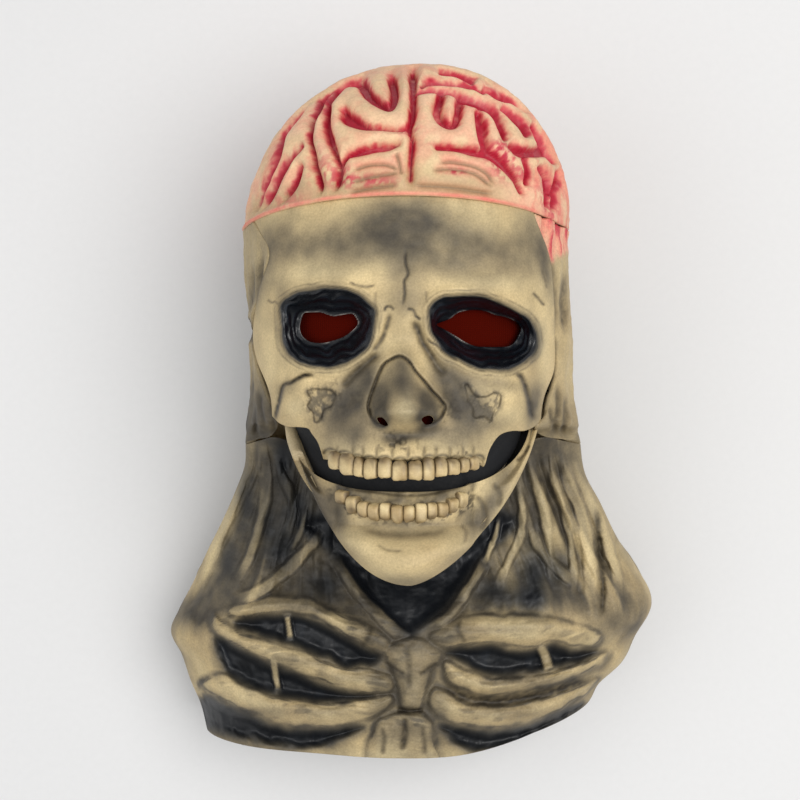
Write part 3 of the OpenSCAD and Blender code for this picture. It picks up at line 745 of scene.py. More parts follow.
def nose_relief(r):
    x, y = r.x, r.y
    height = np.interp(y, [-17, -12, -7, 0, 10, 21, 30], [0, 9, 19, 16.5, 10, 3.5, 0])
    height = mix(height, np.interp(y - 1.5, [-17, -12, -7, 0, 10, 21, 30], [0, 9, 19, 16.5, 10, 3.5, 0]), 0.5)
    width = np.interp(y, [-15, -6, 4, 14, 24], [11.5, 11.5, 9.5, 7.5, 6])
    mid = np.interp(y, [-12, 22], [3.4, 0.6])
    r.lift += height * np.exp(-(np.abs((x - mid) / width) ** 2.4))
    r.blob(-9.5, -7, 5.5, 5.5, 5.5)
    r.blob(16, -6.5, 5.5, 6, 5.5)
    r.blob(3.4, -6.5, 6.5, 5.5, 3.0)
    r.lip(NASAL_RIM, 4.5, 2.4)
    # Dark outline of the nasal rim: paint together with the painted shadow under its lip
    r.stroke(NASAL_RIM, 0.75, -1.7, ink=0.95, spread=1.0, fade=0.08)
    r.stroke([(-15.4, -3), (-14.4, -8.4), (-12, -11.4), (-8.6, -12.9), (-5.6, -12.2)], 0.9, -1.6, ink=1.0)
    r.stroke([(22.4, -4), (20.6, -8.6), (17.4, -11.4), (13.6, -12.8), (10.6, -12)], 0.9, -1.6, ink=1.0)
    # Painted shade over the sides and top of the nose and round the nostrils, in the grey airbrush
    r.blob(-9.8, 0, 4.5, 9, ink=0.95)
    r.blob(13.5, -1, 4.5, 8, ink=0.75)
    r.blob(1.5, 8, 6.5, 8, ink=0.6)
    r.blob(1, 20, 5, 5, ink=0.35)
    r.blob(14, -10, 4.8, 4, ink=1.1)
    r.blob(-9.5, -11, 4.2, 3.6, ink=1.1)
    # Painted highlight on the tip of the nose
    r.blob(3.4, -5, 4.5, 5, ink=1.2, layer="light")
    # Painted shade over the nose inside the nasal rim
    where, d = r.depth_in(NASAL_RIM + [(14, -13), (3, -14.5), (-7, -13.5)])
    r.layer("smoke")[where] += 0.3 * ease(d / 5)
    r.blob(-3, -19.5, 6, 3.4, ink=0.95, lift=-0.8)
    r.blob(6, -18.5, 8, 2.2, ink=0.55, lift=-0.4)
    r.blob(14, -15, 6, 3, ink=0.6)


FACE_CRACKS = [
    ([(2.95, 76.5), (2.7, 69), (4.1, 63.3), (2.1, 59.3), (2.4, 53), (1.2, 46.5)], 0.7, -1.0, 0.9),
    ([(-7.6, 44), (-7.4, 46), (-6, 46.9), (-4, 46.2), (-3, 44.5)], 0.6, -0.6, 0.85),
    ([(-5, 44), (-5.5, 41), (-7, 35.7), (-9.6, 29.6), (-14, 24)], 1.1, -1.0, 0.7),
    ([(-9.6, 24), (-14.7, 20), (-22.3, 13.4), (-30, 5.6)], 1.8, -1.7, 0.7),
    ([(3, 45.6), (6.5, 45), (8, 42), (10.8, 39.8)], 0.7, -0.7, 0.9),
    ([(5.7, 41), (8.8, 35.2), (11.8, 28), (15.9, 21.4), (18.5, 16.8), (24, 11)], 1.9, -1.8, 0.8),
    ([(12.6, 32), (15, 29.2), (19, 27), (24.6, 22.5), (30, 19)], 0.7, -0.6, 0.8),
    ([(-12.1, 55), (-12.4, 48), (-11.6, 41)], 0.9, -0.5, 0.4),
    ([(13, 55), (13.4, 48)], 0.7, -0.3, 0.35),
    ([(-41.5, 11.8), (-45, 12.6), (-48.8, 11.9), (-54.2, 8.9), (-58.4, 7), (-60.3, -0.3), (-62.2, -8.7),
      (-60.5, -11.4)], 1.0, -2.2, 1.0),
    ([(56.5, 13.9), (60.7, 11.6), (63, 5.5), (64.5, -0.6), (65.6, -6.7), (68.3, -10.4)], 1.3, -2.2, 1.0),
    ([(-26, 59.5), (-22, 57.5), (-17, 56.6), (-12, 57.4)], 0.6, -0.5, 0.6),
    ([(-66.5, 50.5), (-64, 48.6), (-62.5, 49.2), (-60.6, 47.4)], 0.5, -0.5, 0.6),
    ([(66, 54), (68.5, 51.5), (71, 48.5), (72.5, 46.8)], 0.7, -0.6, 0.7),
    ([(73.5, 55), (72.5, 60), (70.5, 66)], 0.5, -0.3, 0.4),
]


LEFT_PATCH = [(-46.5, 4.5), (-41, 6), (-34.5, 5), (-31.5, 1.5), (-34, -3), (-37.5, -5), (-39, -9.5),
              (-42.5, -11),
              (-43.5, -6.5), (-47, -3), (-45, 0.5)]
RIGHT_PATCH = [(33, 7.5), (36, 4.2), (39, 2), (43, 1.5), (47.5, 3.5), (50.5, 2), (49.8, -3.2), (47, -6.5),
               (45.5, -10.5), (42, -8), (37.5, -8.5), (36.5, -4), (33.5, 0)]


def patch_relief(r, outline, seed):
    """Worn patch of old bone: a broken, flaking rim round a pitted hollow."""
    p = np.stack([r.x, r.y, np.zeros_like(r.x)], -1)
    where, d = r.depth_in(outline)
    d = d + 0.9 * rough(p[where], 5, 2, seed)
    flakes = rough(p[where], 2.4, 3, seed + 1)
    r.lift[where] += -1.3 * ease((d + 0.4) / 1.2) + 0.5 * flakes * ease((d + 3) / 3)
    rim = np.exp(-(((d - 0.2) / 0.55) ** 2)) * ease(0.75 + 1.2 * rough(p[where], 6, 2, seed + 2))
    r.paint("ink", where, 0.75 * rim)
    r.paint("ink", where, 0.7 * ease((d + 2.5) / 2) * ease(0.6 - 5 * np.abs(flakes)))
    r.paint("smoke", where, 0.5 * ease((d + 3) / 4) * ease(0.5 - flakes))


def gum_relief(r):
    """Gum over the roots of the upper teeth, scalloped between them."""
    mids = [(a + b) / 2 for a, b in zip(TOOTH_EDGES, TOOTH_EDGES[1:])]
    r.lift += 2.8 * np.exp(-(((r.y + 30) / 8) ** 2)) * ease((40 - np.abs(r.x - 1.5)) / 8)
    top = lookup(r.x, GUM_LINE) / 0.971
    r.lift -= 4.4 * ease((top + 0.5 - r.y) / 1.8) * ease((41.5 - np.abs(r.x - 1.5)) / 3)
    for m, a, b in zip(mids, TOOTH_EDGES, TOOTH_EDGES[1:]):
        r.blob(m, -25, (b - a) * 0.42, 5.5, lift=0.9)
    for edge in TOOTH_EDGES[1:-1]:
        r.stroke([(edge, -21), (edge + 0.3, -25), (edge, -32)], 0.8, -0.9, ink=0.45, fade=0.4)
    for k, m in enumerate(mids):
        top = lookup(np.array(m), GUM_LINE) + 0.4 * np.sin(1.9 * k) + 0.2
        arc = [(m - 3.4, top - 3), (m - 2.4, top - 0.7), (m, top), (m + 2.4, top - 0.6), (m + 3.4, top - 3)]
        r.stroke(arc, 0.8, -0.5, ink=0.6, fade=0.1)


def face_airbrush(r):
    """Grey airbrush over the forehead, temples and cheeks, which also lays painted shade into the hollows
    beside the nose and along the side edges, and painted highlights on the high points.
    """
    for x, y, rx, ry, amount, turn in [
            (0, 90, 17, 9, 0.75, 0), (2, 72, 9, 15, 0.5, 0), (-32, 79, 24, 8, 0.42, 12),
            (34, 70, 15, 9, 0.3, -25),
            (-60, 80, 8, 12, 0.3, -20), (-20, 70, 12, 5, 0.3, 20), (36, 80, 14, 7, 0.42, -15),
            (22, 68, 12, 5, 0.3, -20), (58, 70, 10, 9, 0.3, 0), (64, 84, 6, 8, 0.3, 0),
            (-70, 63, 3.2, 13, 0.55, -12), (72, 70, 3, 14, 0.5, 10), (-25, 5, 5, 15, 0.6, -35),
            (-19, -4, 5, 12, 0.5, -10), (28, 6, 6, 13, 0.75, 30), (34, -4, 8, 6, 0.4, 20),
            (-40, -2, 9, 7, 0.3, 0), (67, -2, 2.6, 8, 0.8, -8), (-56, 6, 5, 3, 0.25, 20),
            (45, -12, 14, 4, 0.3, 5), (-30, -16, 8, 6, 0.25, 0), (30, -20, 10, 5, 0.25, 0),
            (-62, 56, 6, 6, 0.15, 0), (50, 8, 12, 3, 0.35, -10), (3, 50, 10, 5, 0.3, 0),
            (2, 28, 6, 9, 0.2, 0), (20, -17, 9, 5, 0.15, 0), (-24, 0, 4, 17, 0.4, -30),
            (26, 2, 4, 15, 0.35, 25), (-40, 77, 14, 5, 0.16, 0), (-20, -20, 9, 6, 0.25, 30)]:
        r.blob(x, y, 1.3 * rx, 1.3 * ry, ink=1.15 * amount, turn=turn)
    # Painted highlights on the brows, cheekbones, side edges, nose bridge and upper lip
    for x, y, rx, ry, amount in [
            (-40, 64, 22, 6, 0.6), (44, 59, 22, 5, 0.6), (-66, 26, 4, 20, 0.4), (72, 22, 3.4, 20, 0.5),
            (-52, -4, 7, 6, 0.6), (40, 4, 10, 5, 0.4), (2, 32, 4, 8, 0.1), (3.5, 2, 3, 9, 0.5),
            (-28, -22, 9, 5, 0.5), (20, -22, 16, 5, 0.5), (54, -8, 8, 5, 0.5), (60, 70, 8, 6, 0.2)]:
        r.blob(x, y, rx, ry, ink=amount, layer="light")


def build_face(mat):
    grid = face_grid(210, 250)
    r = Relief(grid)
    r.blob(-38, 61, 22, 6.5, lift=2.6)
    r.blob(44, 57, 24, 6, lift=2.6)
    r.blob(-52, -3, 9, 10, lift=3.4)
    r.blob(-68, 30, 4, 22, lift=1.6)
    r.blob(73, 24, 4, 22, lift=1.6)
    r.blob(55, 1, 12, 9, lift=2.4)
    r.blob(-27, 2, 6, 14, lift=-2.6, turn=-30)
    r.blob(27, 4, 6, 13, lift=-2.6, turn=30)
    r.blob(2, 40, 8, 12, lift=2.2)
    nose_relief(r)
    for points, width, lift, ink in FACE_CRACKS:
        r.stroke(points, width, lift, ink=ink)
    r.lip(FACE_CRACKS[9][0], 6, 2.4)
    r.lip(FACE_CRACKS[10][0][::-1], 6, 2.4)
    patch_relief(r, LEFT_PATCH, 11)
    patch_relief(r, RIGHT_PATCH, 15)
    gum_relief(r)
    face_airbrush(r)
    socket_relief(r, LEFT_SOCKET, LEFT_EYE, 15.0)
    socket_relief(r, RIGHT_SOCKET, RIGHT_EYE, 15.0)
    r.blob(65, 29, 5, 7.5, ink=0.9, layer="black")
    r.lift += 0.35 * rough(grid, 6, 2, 8) + 0.5 * rough(grid, 22, 2, 6)
    r.layer("smoke")[...] += 0.12 * rough(grid, 14, 3, 7)
    r.lift -= 0.8 * ease((grid[..., 1] - seam_y(grid[..., 0], grid[..., 2]) + 0.4) / 1.0)
    crust = np.exp(-(((r.x + 2) / 9) ** 2) - ((r.y + 21) / 5.5) ** 2)
    crust += 0.8 * np.exp(-(((r.x - 33) / 7) ** 2) - ((r.y + 28) / 4) ** 2)
    crust += 0.5 * np.exp(-(((r.x + 30) / 8) ** 2) - ((r.y - 3) / 9) ** 2)
    crust += 0.5 * np.exp(-(((r.x - 26) / 7) ** 2) - ((r.y + 4) / 11) ** 2)
    pits = ease(2.6 * rough(grid, 1.9, 2, 31) - 0.3) * crust
    r.layer("ink")[...] = np.maximum(r.layer("ink"), 0.85 * pits)
    r.lift -= 0.35 * pits
    outer = r.raised(True)
    holes = np.zeros((grid.shape[0] - 1, grid.shape[1] - 1), bool)
    cx = (r.x[:-1, :-1] + r.x[1:, 1:]) / 2
    cy = (r.y[:-1, :-1] + r.y[1:, 1:]) / 2
    scale = plan_scale(outer[..., 2])
    for outline in (LEFT_EYE, RIGHT_EYE, LEFT_NOSTRIL, RIGHT_NOSTRIL):
        line = spline(outline, closed=True)[:, :2]
        gone = inside(cx, cy, line)
        holes |= gone
        snap_to(outer, r, gone, line, scale)
    gloss = np.clip(r.layer("black"), 0, 1) * 0.9 + 0.15 * np.clip(r.layer("ink"), 0, 1)
    return finish_skin("skull_face_skin", r, mat, ["skull_face"], holes=holes,
                       gloss=gloss, outer=outer)


def snap_to(outer, r, gone, line, scale):
    """Moves the points on the border of the dropped cells onto the outline of the hole."""
    touched = np.zeros(r.x.shape, int)
    for di in (0, 1):
        for dj in (0, 1):
            touched[di:di + gone.shape[0], dj:dj + gone.shape[1]] += gone
    border = (touched > 0) & (touched < 4)
    px, py = r.x[border], r.y[border]
    a, b = line[:-1], line[1:]
    d = b - a
    along = (px[:, None] - a[:, 0]) * d[:, 0] + (py[:, None] - a[:, 1]) * d[:, 1]
    t = np.clip(along / np.maximum((d**2).sum(1), 1e-9), 0, 1)
    qx, qy = a[:, 0] + t * d[:, 0], a[:, 1] + t * d[:, 1]
    k = np.argmin((qx - px[:, None]) ** 2 + (qy - py[:, None]) ** 2, axis=1)
    row = np.arange(len(px))
    outer[border, 0] = qx[row, k] * scale[border]
    outer[border, 1] = qy[row, k] * scale[border]


# --- Brain ---

SULCI = [
    [(-35.6, 150.6, 1.2), (-28.5, 158.8, 2.4), (-20.3, 159.8, 4), (-16.2, 154.2, 3.6), (-11.1, 150.1, 3),
     (-5, 147.8, 2.6), (-3, 154.2, 3.6), (-4, 161.3, 3.4)],
    [(-28.4, 145.8, 2), (-27, 142.4, 5), (-22.3, 139.6, 4), (-16.2, 137.8, 2.2), (-8.6, 137.1, 1.2),
     (0, 136.3, 1),
     (4.5, 137, 1)],
    [(-36.4, 149, 0.7), (-37.4, 138.3, 2.2), (-35.6, 130.7, 2.6), (-33.6, 125.6, 1.8), (-32, 121, 1.2),
     (-30.5, 115.9, 1.4), (-31, 110.8, 1.6), (-32.5, 105.2, 0.8)],
    [(-33, 158.5, 0.8), (-38.2, 153.1, 1.7), (-41.7, 147, 2), (-44.8, 140.9, 2), (-45.3, 136.3, 0.9),
     (-45.8, 131.2, 0.8), (-44.3, 125.1, 0.9), (-43.3, 118.4, 1.2), (-41.7, 113.3, 1), (-40.2, 106.7, 0.9),
     (-39.9, 99.6, 0.8)],
    [(-46, 151, 0.7), (-49.9, 145.5, 0.8), (-55.5, 138.3, 0.8), (-59.1, 133.2, 0.8), (-60.4, 128.1, 0.8),
     (-62.1, 122, 0.9), (-64.7, 115.9, 0.8), (-67.2, 110.3, 1), (-69.8, 104.7, 1), (-72.3, 95.5, 0.8)],
    [(-50.4, 127.4, 0.8), (-55.5, 122, 1.6), (-58.6, 116.9, 2), (-62.1, 110.8, 2), (-64.2, 105.7, 1.8),
     (-67.2, 99.6, 1.2), (-69.8, 94, 0.7)],
    [(-50.4, 117, 0.8), (-52.4, 110.8, 1.8), (-54.5, 106.2, 2), (-58.1, 101.1, 1.8), (-61, 96.5, 0.8)],
    [(-26.4, 122.8, 0.9), (-18.8, 125.3, 2.6), (-12.1, 127.1, 3.2), (-6, 127.4, 2.2), (-1, 128.9, 0.8)],
    [(-26.4, 123, 0.9), (-29, 119.5, 1), (-31, 114, 1.4)],
    [(6.4, 164, 3), (6.7, 152, 2.6), (6.1, 142.3, 2.4), (4.8, 136.6, 2), (6.4, 130, 1), (5.7, 122.5, 1.4),
     (5.4, 114, 0.8), (5.6, 106, 0.6)],
    [(11, 158.4, 1), (14.7, 160.2, 1.5), (25.5, 160, 2.2), (35.7, 158.2, 1.8), (42, 155.6, 1.4)],
    [(43, 157, 1.2), (51, 152.7, 2.2), (57.4, 150.6, 1.8), (63.5, 146, 1)],
    [(20.5, 165.2, 0.8), (28.7, 164, 1), (37, 160.5, 0.8)],
    [(8.3, 155, 1.2), (16, 156, 1), (26.8, 154.6, 1.2), (32, 151.8, 3.4), (38.3, 150, 4), (44.6, 147.4, 3.6),
     (49.1, 142.9, 2.8), (52, 136, 2), (53.4, 131.5, 1)],
    [(20.6, 153, 3), (18.9, 146.8, 3.8), (20.4, 141.9, 3.4), (23.6, 138.9, 2.6), (26.8, 138.7, 2.6),
     (29, 141.7, 3), (29.7, 146.1, 2.6), (30.4, 151, 2.4)],
    [(39.8, 144.6, 2.4), (41.5, 137.8, 4.4), (42.4, 131.5, 4), (44, 126, 3.4)],
    [(52.3, 146.8, 1.4), (57.4, 142.9, 2.6), (61.9, 138.5, 3), (64, 133.5, 1.6)],
    [(67.6, 137.2, 1.4), (70.8, 131.5, 2.6), (75, 125, 4.2), (78, 120.5, 2.4)],
    [(56.3, 127.6, 1.4), (60.5, 124.6, 3), (66, 124.6, 3.4), (73, 124.8, 3.4)],
    [(19, 127, 1.2), (28.7, 126.4, 1.4), (37, 125, 2.6), (44.6, 123.8, 3.6), (49.7, 120.6, 3.4),
     (54.2, 116.2, 2.6), (58.7, 110.4, 1.8), (61.2, 104.3, 0.9)],
    [(63.6, 121, 2), (65, 114.9, 1.8), (64.2, 109, 1)],
    [(71.6, 116, 1.8), (75.3, 109.8, 2.6), (76.5, 103.5, 1.4)],
    [(80.3, 113.6, 1.4), (79, 106, 1.4), (78.2, 99, 2), (76.5, 92.5, 1)],
    [(73.3, 112.3, 0.8), (74.6, 100.8, 1.2), (72.7, 91.3, 0.8)],
]
PALE_CREASES = [
    [(-23.9, 114.4), (-17.8, 116.9), (-11.1, 117.6), (-6, 117.2), (0, 114.8)],
    [(-24.9, 108.6), (-16.2, 111), (-6, 112.8), (0, 113.6)],
    [(-26, 103.6), (-18.8, 105.2), (-8.6, 106.7), (-0.5, 107.4)],
    [(18.5, 118), (25.5, 118.9), (35.7, 117), (43.4, 113), (47.4, 106.8)],
    [(15, 114.6), (25.5, 115.4), (35.7, 113.6), (41.5, 110.4), (46.6, 105.6)],
    [(6.2, 110.2), (9.4, 107.4), (22.3, 106.6), (38.3, 104.4), (45.9, 103.4), (48, 105)],
    [(-2, 124), (-0.5, 119), (1, 112)],
]


def labyrinth(p, length):
    """Distance to the winding lines of a noise whose bends all have about one length."""
    draw = np.random.default_rng(11)
    value = 0
    slope = np.zeros(p.shape)
    for _ in range(26):
        way = draw.normal(size=3)
        way = way / np.linalg.norm(way) * 2 * np.pi / (length * draw.uniform(0.85, 1.15))
        angle = p @ way + draw.uniform(0, 2 * np.pi)
        value = value + np.sin(angle)
        slope += np.cos(angle)[..., None] * way
    return np.abs(value) / np.maximum(np.linalg.norm(slope, axis=-1), 0.25)


def brain_grid(rows, cols):
    """Rows from the seam to the crown; columns once round, closer together in front."""
    fine = np.linspace(0, 90, 400)
    profile = brain_point(fine, np.full(400, 90.0))
    q = even(profile[:, 1:], rows) * 90
    q[-1] = 90
    s = np.linspace(0, 1, cols, endpoint=False)
    back = np.interp(s, [0, 0.72, 1], [180, 0, -180])
    return brain_point(q[:, None], back[None, :])


def brain_colours(r, points):
    p = points
    depth = r.layer("depth")
    c = np.broadcast_to(np.array(CREAM, float), p.shape).copy()
    pads = ease((126 - r.y) / 14) * ease((60 - np.abs(r.x - 4)) / 20)
    c = coat(c, BONE, 0.4 * ease(0.5 + rough(p, 12, 3, 1)) + 0.45 * pads)
    c = coat(c, SALMON, 0.22 * ease(0.3 + rough(p, 7, 3, 2)) * (1 - 0.5 * pads) + r.layer("salmon"))
    edge = 0.45 * rough(p, 2.6, 2, 3) + 0.6 * rough(p, 9, 2, 4)
    c = coat(c, SALMON, ease((2.2 + 1.4 * edge - depth) / 2.6) * 0.75)
    foot = p[..., 1] - seam_y(p[..., 0], p[..., 2])
    front = ease((58 - r.x) / 14) * ease((p[..., 2] - 120) / 30)
    c = coat(c, (172, 146, 108), 0.62 * ease((17 - foot) / 11) * ease((foot - 1.6) / 1.5) * front)
    streaks = ease(0.5 + 2 * rough(p * [1, 0.4, 1], 5, 2, 12))
    c = coat(c, SALMON, 0.5 * ease((r.x - 58) / 12) * streaks * r.front)
    c = coat(c, BLOOD, ease((1.25 + edge - depth) / 1.5))
    c = coat(c, BLOOD_DEEP, ease((0.12 - depth) / 0.3) * 0.6)
    c = coat(c, BLOOD, r.layer("smear") * ease(0.5 + 1.4 * rough(p, 2.4, 3, 6)))
    c = coat(c, (120, 100, 72), r.layer("olive"))
    return c


def build_brain(mat):
    grid = brain_grid(170, 620)
    r = Relief(grid, wrap=True)
    r.front = grid[..., 2] > AXIS_Z - 4
    facing = (r.normal * unit(np.array([0, 0, VIEW_Z]) - grid)).sum(-1)
    facing = ease(facing / 0.15) * ease((grid[..., 2] - AXIS_Z + 4) / 12)
    depth = labyrinth(grid, 21.0) - 0.7
    drawn = np.full(r.x.shape, 9.0)
    for points in SULCI:
        line = spline(points)
        where, px, py = r.near(line, 9)
        d, _, _, width = nearest(px, py, line)
        d = np.maximum(0, d - width / 2)
        drawn[where] = np.minimum(drawn[where], d)
    pads = ease((60 - np.abs(r.x - 8)) / 6) * ease((131 - r.y) / 5)
    depth = depth + (9 * pads + 7 * ease((12.5 - drawn) / 5)) * facing
    depth = np.maximum(0, np.minimum(depth, drawn + 12 * (1 - facing)))
    low = ease((grid[..., 1] - seam_y(grid[..., 0], grid[..., 2]) - 2) / 7)
    r.layer("depth")[...] = mix(4.0, depth, low)
    roll = np.clip(depth / 5.4, 0, 1)
    r.lift += low * (6.8 * np.sqrt(1 - (1 - roll) ** 2) - 5.6) * mix(0.66, 1, facing)
    for points in PALE_CREASES:
        r.stroke(points, 1.0, -1.6, ink=0.75, spread=0.8, layer="olive")
        r.stroke(points, 3.0, -0.5, ink=0.4, layer="salmon")
    for x, y, rx, ry, amount in [
            (-29, 112, 6, 5, 0.8), (-15, 109.5, 12, 3, 0.6), (52, 118, 7, 7, 0.8), (27.4, 114.2, 5, 1.6, 0.8),
            (2, 135, 7, 2, 0.7), (48, 125, 8, 4, 0.8), (24, 127.5, 8, 1.5, 0.6), (-40, 116, 6, 9, 0.35),
            (-56, 100, 8, 5, 0.3), (62, 112, 4, 8, 0.5), (76, 98, 4, 10, 0.6), (70, 104, 3, 8, 0.3)]:
        r.blob(x, y, rx, ry, ink=amount, layer="smear")
    r.lift += 0.4 * rough(grid, 7, 2, 5)
    seam = grid[..., 1] - seam_y(grid[..., 0], grid[..., 2])
    bead = np.exp(-(((seam - 1.2) / 1.2) ** 2)) * (1 - 0.8 * ease((r.x - 62) / 8) * r.front)
    r.lift += 1.3 * bead
    streak = 0.5 + 0.5 * rough(grid, 9, 3, 7)
    fade = 1 - 0.8 * ease((r.x - 62) / 8)
    line = 0.6 * np.exp(-(((seam - 1.0) / 0.8) ** 2)) * (0.6 + 0.6 * streak)
    r.layer("salmon")[...] += line * r.front * fade
    r.layer("salmon")[...] += 0.25 * np.exp(-((seam / 5) ** 2)) * streak * r.front
    gloss = 0.35 * ease(1.5 - r.layer("depth"))
    return finish_skin("brain_cap_skin", r, mat, ["brain_cap"], along_view=False,
                       wrap=True, colours=brain_colours, gloss=gloss)


# --- Hood, nape and chest ---


LAP = 9.0  # length of hood glued under the top edges of the bib and the nape


def hood_grid(rows, cols):
    """Hood from one side edge of the face round the back of the head to the other."""
    v = np.linspace(0, 1, rows)[:, None]
    ring = np.linspace(0, 1, cols)
    y = np.broadcast_to(mix(EAR_Y - LAP, SEAM_Y - 2, v), (rows, cols)).copy()
    side = np.where(ring < 0.5, 1, -1)
    up = np.clip((0.16 - np.minimum(ring, 1 - ring)) / 0.16, 0, 1)
    a = np.radians(180 * np.clip((ring - 0.16) / 0.68, 0, 1))
    e = 2 / ROUND_P
    for _ in range(3):
        edge = np.where(side > 0, edge_x(y, True), edge_x(y, False))
        top = np.where(side > 0, edge_z(y, True), edge_z(y, False)) - 0.6
        half, middle = side_half(y), side_mid(y)
        upper_x = mix(middle + side * half, edge + side * 0.6, up**2.2)
        lower_x = middle + half * power(np.cos(a), e)
        x = np.where(up > 0, upper_x, lower_x)
        z = np.where(up > 0, mix(AXIS_Z, top, up), np.maximum(0, AXIS_Z - (AXIS_Z + 2) * np.sin(a) ** e))
        near_bib = (up > 0) * ease((bib_top(x) + 12 - y) / 12)
        z = mix(z, np.maximum(bib_z(x, y), AXIS_Z + 2 * up), near_bib)
        y = mix(EAR_Y - LAP, seam_y(x, z) - 0.5, v)
    return np.stack([x, y, z], -1)


def bib_top(x):
    """Height on the plan of the bib's top edge beside the ears."""
    order = np.argsort([row[1] for row in BIB_TOP_X])
    return np.interp(x, np.array(BIB_TOP_X)[order, 1], np.array(BIB_TOP_Y)[order, 1])


def sheen_of(r):
    return 0.85 * np.clip(r.layers.get("black", 0 * r.x), 0, 1)


HOOD_FOLDS = [
    [(-69, 74), (-70, 66), (-71.5, 56), (-73.5, 45)],
    [(-73, 70), (-74, 55), (-75.5, 40)],
    [(-75.5, 42), (-75.5, 34), (-73.4, 27)],
    [(-70, 6), (-69.5, -4), (-67, -14)],
    [(-73, 0), (-72.5, -12), (-71, -22)],
    [(-66, 2), (-64, -8), (-61, -20)],
    [(-77.5, 8), (-78, -6), (-78.5, -20)],
    [(68, 92), (73, 79.5), (77, 62), (78.2, 47.5), (78.4, 31.5)],
    [(82, 66), (81.5, 50), (81.8, 30)],
    [(77.5, 10), (78.5, 0), (78, -12), (75, -20)],
    [(82, 4), (82, -10), (80, -21)],
    [(73.4, -2), (76, -8), (77, -17)],
]


def build_hood(mat):
    grid = hood_grid(110, 300)
    r = Relief(grid)
    r.front = grid[..., 2] > AXIS_Z - 10
    # Dark in the fold creases: painted shade
    for points in HOOD_FOLDS:
        r.stroke(points, 1.2, -1.4, ink=0.6, spread=1.1, fade=0.3)
    # Painted shadow cast by the face's side edges onto the hood, on sunk lenses beside them
    r.slab([(-75.6, 41), (-73.6, 34), (-73, 28), (-74.4, 30), (-75.8, 36)], -1.6, 1.5, ink=0.9, layer="smoke")
    r.slab([(76.8, 31), (78.2, 28), (77.4, 22.5), (76.5, 27)], -1.4, 1.5, ink=0.9, layer="smoke")
    flow = np.stack([grid[..., 0], grid[..., 1] * 0.22, grid[..., 2]], -1)
    folds = rough(flow, 17, 3, 3)
    end = np.where(grid[..., 2] > AXIS_Z, bib_top(grid[..., 0]), EAR_Y - 0.4)
    joined = ease((grid[..., 1] - end) / 12)
    r.lift += joined * (1.5 * folds + 0.3 * rough(grid, 5, 2, 2))
    r.lift -= 3.6 * ease((end - grid[..., 1]) / 1.0)
    low = ease((20 - grid[..., 1]) / 40)
    # Grey over the hood, darker towards the neck, with painted shade in the fold hollows
    r.layer("smoke")[...] += 0.25 + 0.35 * low + 0.5 * (0.4 + low) * np.clip(-folds, 0, 1)
    # Painted shade low down, where the hood turns under
    r.layer("smoke")[...] += 0.3 * ease((AXIS_Z - grid[..., 2]) / 60)
    # Painted light on the upper right and painted shade on the far left, from the side the light comes from
    high = ease((grid[..., 2] - AXIS_Z + 45) / 50)
    r.layer("smoke")[...] *= 1 - 0.45 * ease(r.x / 40) * high
    r.layer("smoke")[...] += 0.35 * ease((-62 - r.x) / 6) * ease((20 - r.y) / 20) * high
    pink = ease((r.x - 66) / 5) * ease((r.y - 68 - 3 * folds) / 9) * ease((grid[..., 2] - AXIS_Z + 10) / 30)
    r.layer("pink")[...] = pink * (0.75 + 0.25 * rough(flow, 3, 2, 5))
    r.lift += pink * 1.6 * rough(flow, 5, 2, 6)
    return finish_skin("back_hood_skin", r, mat, ["back_hood"], along_view=False,
                       colours=hood_colours)


def hood_colours(r, points):
    c = bone_colours(r, points)
    pink = r.layers.get("pink", 0 * r.x)
    c = coat(c, CREAM, 0.9 * ease(pink * 2))
    streak = rough(points * [1, 0.2, 1], 3.5, 2, 8)
    c = coat(c, SALMON, ease(pink * 1.6) * (0.55 + 0.5 * streak))
    return coat(c, BLOOD, ease(pink * 1.4) * ease(streak * 2.5 - 0.2) * 0.7)


def nape_grid(rows, cols):
    v = np.linspace(0, 1, rows)[:, None]
    u = 0.5 - 0.5 * np.cos(np.pi * np.linspace(0, 1, cols))
    s = 2 * u - 1
    y = mix(-196 + 15.5 * ease((-s - 0.86) / 0.14), EAR_Y - 0.4, v)
    low = lookup(y, SIDE_SEAM_Z)
    squareness = mix(ROUND_P, 4, ease((EAR_Y - y) / 50))
    z = np.maximum(0, low - 0.8 - (low + 2) * root(-s, squareness))
    x = side_mid(y) - side_half(y) * s
    return np.stack([x, y, z], -1)


def build_nape(mat):
    grid = nape_grid(120, 190)
    r = Relief(grid)
    flow = np.stack([grid[..., 0], grid[..., 1] * 0.3, grid[..., 2]], -1)
    folds = rough(flow, 20, 3, 4)
    up = ease(grid[..., 2] / 12) * ease((EAR_Y - 2 - grid[..., 1]) / 14)
    up = up * ease((lookup(grid[..., 1], SIDE_SEAM_Z) - 0.8 - grid[..., 2]) / 8)
    r.lift += up * (1.6 * folds + 0.3 * rough(grid, 6, 2, 2))
    # Grey over the nape, with painted shade in the fold hollows
    r.layer("smoke")[...] = 0.45 + 0.5 * np.clip(-folds, 0, 1) + 0.2 * rough(grid, 30, 2, 3)
    return finish_skin("nape_skirt_skin", r, mat, ["nape_skirt"], along_view=False)


def bib_grid(rows, cols):
    u = np.linspace(0, 1, cols)[None, :]
    v = np.linspace(1, 0, rows)[:, None]
    top_x, top_y = lookup(u, BIB_TOP_X), lookup(u, BIB_TOP_Y)
    y = mix(top_y, lookup(u, HEM_Y), v)
    share = (top_x - side_mid(top_y)) / side_half(top_y)
    share = mix(share, 2 * u - 1, ease((np.abs(2 * u - 1) - 0.92) / 0.08))
    x = side_mid(y) + side_half(y) * mix(share, 2 * u - 1, ease(v * 1.4))
    return np.stack([x, y, bib_z(x, y)], -1)


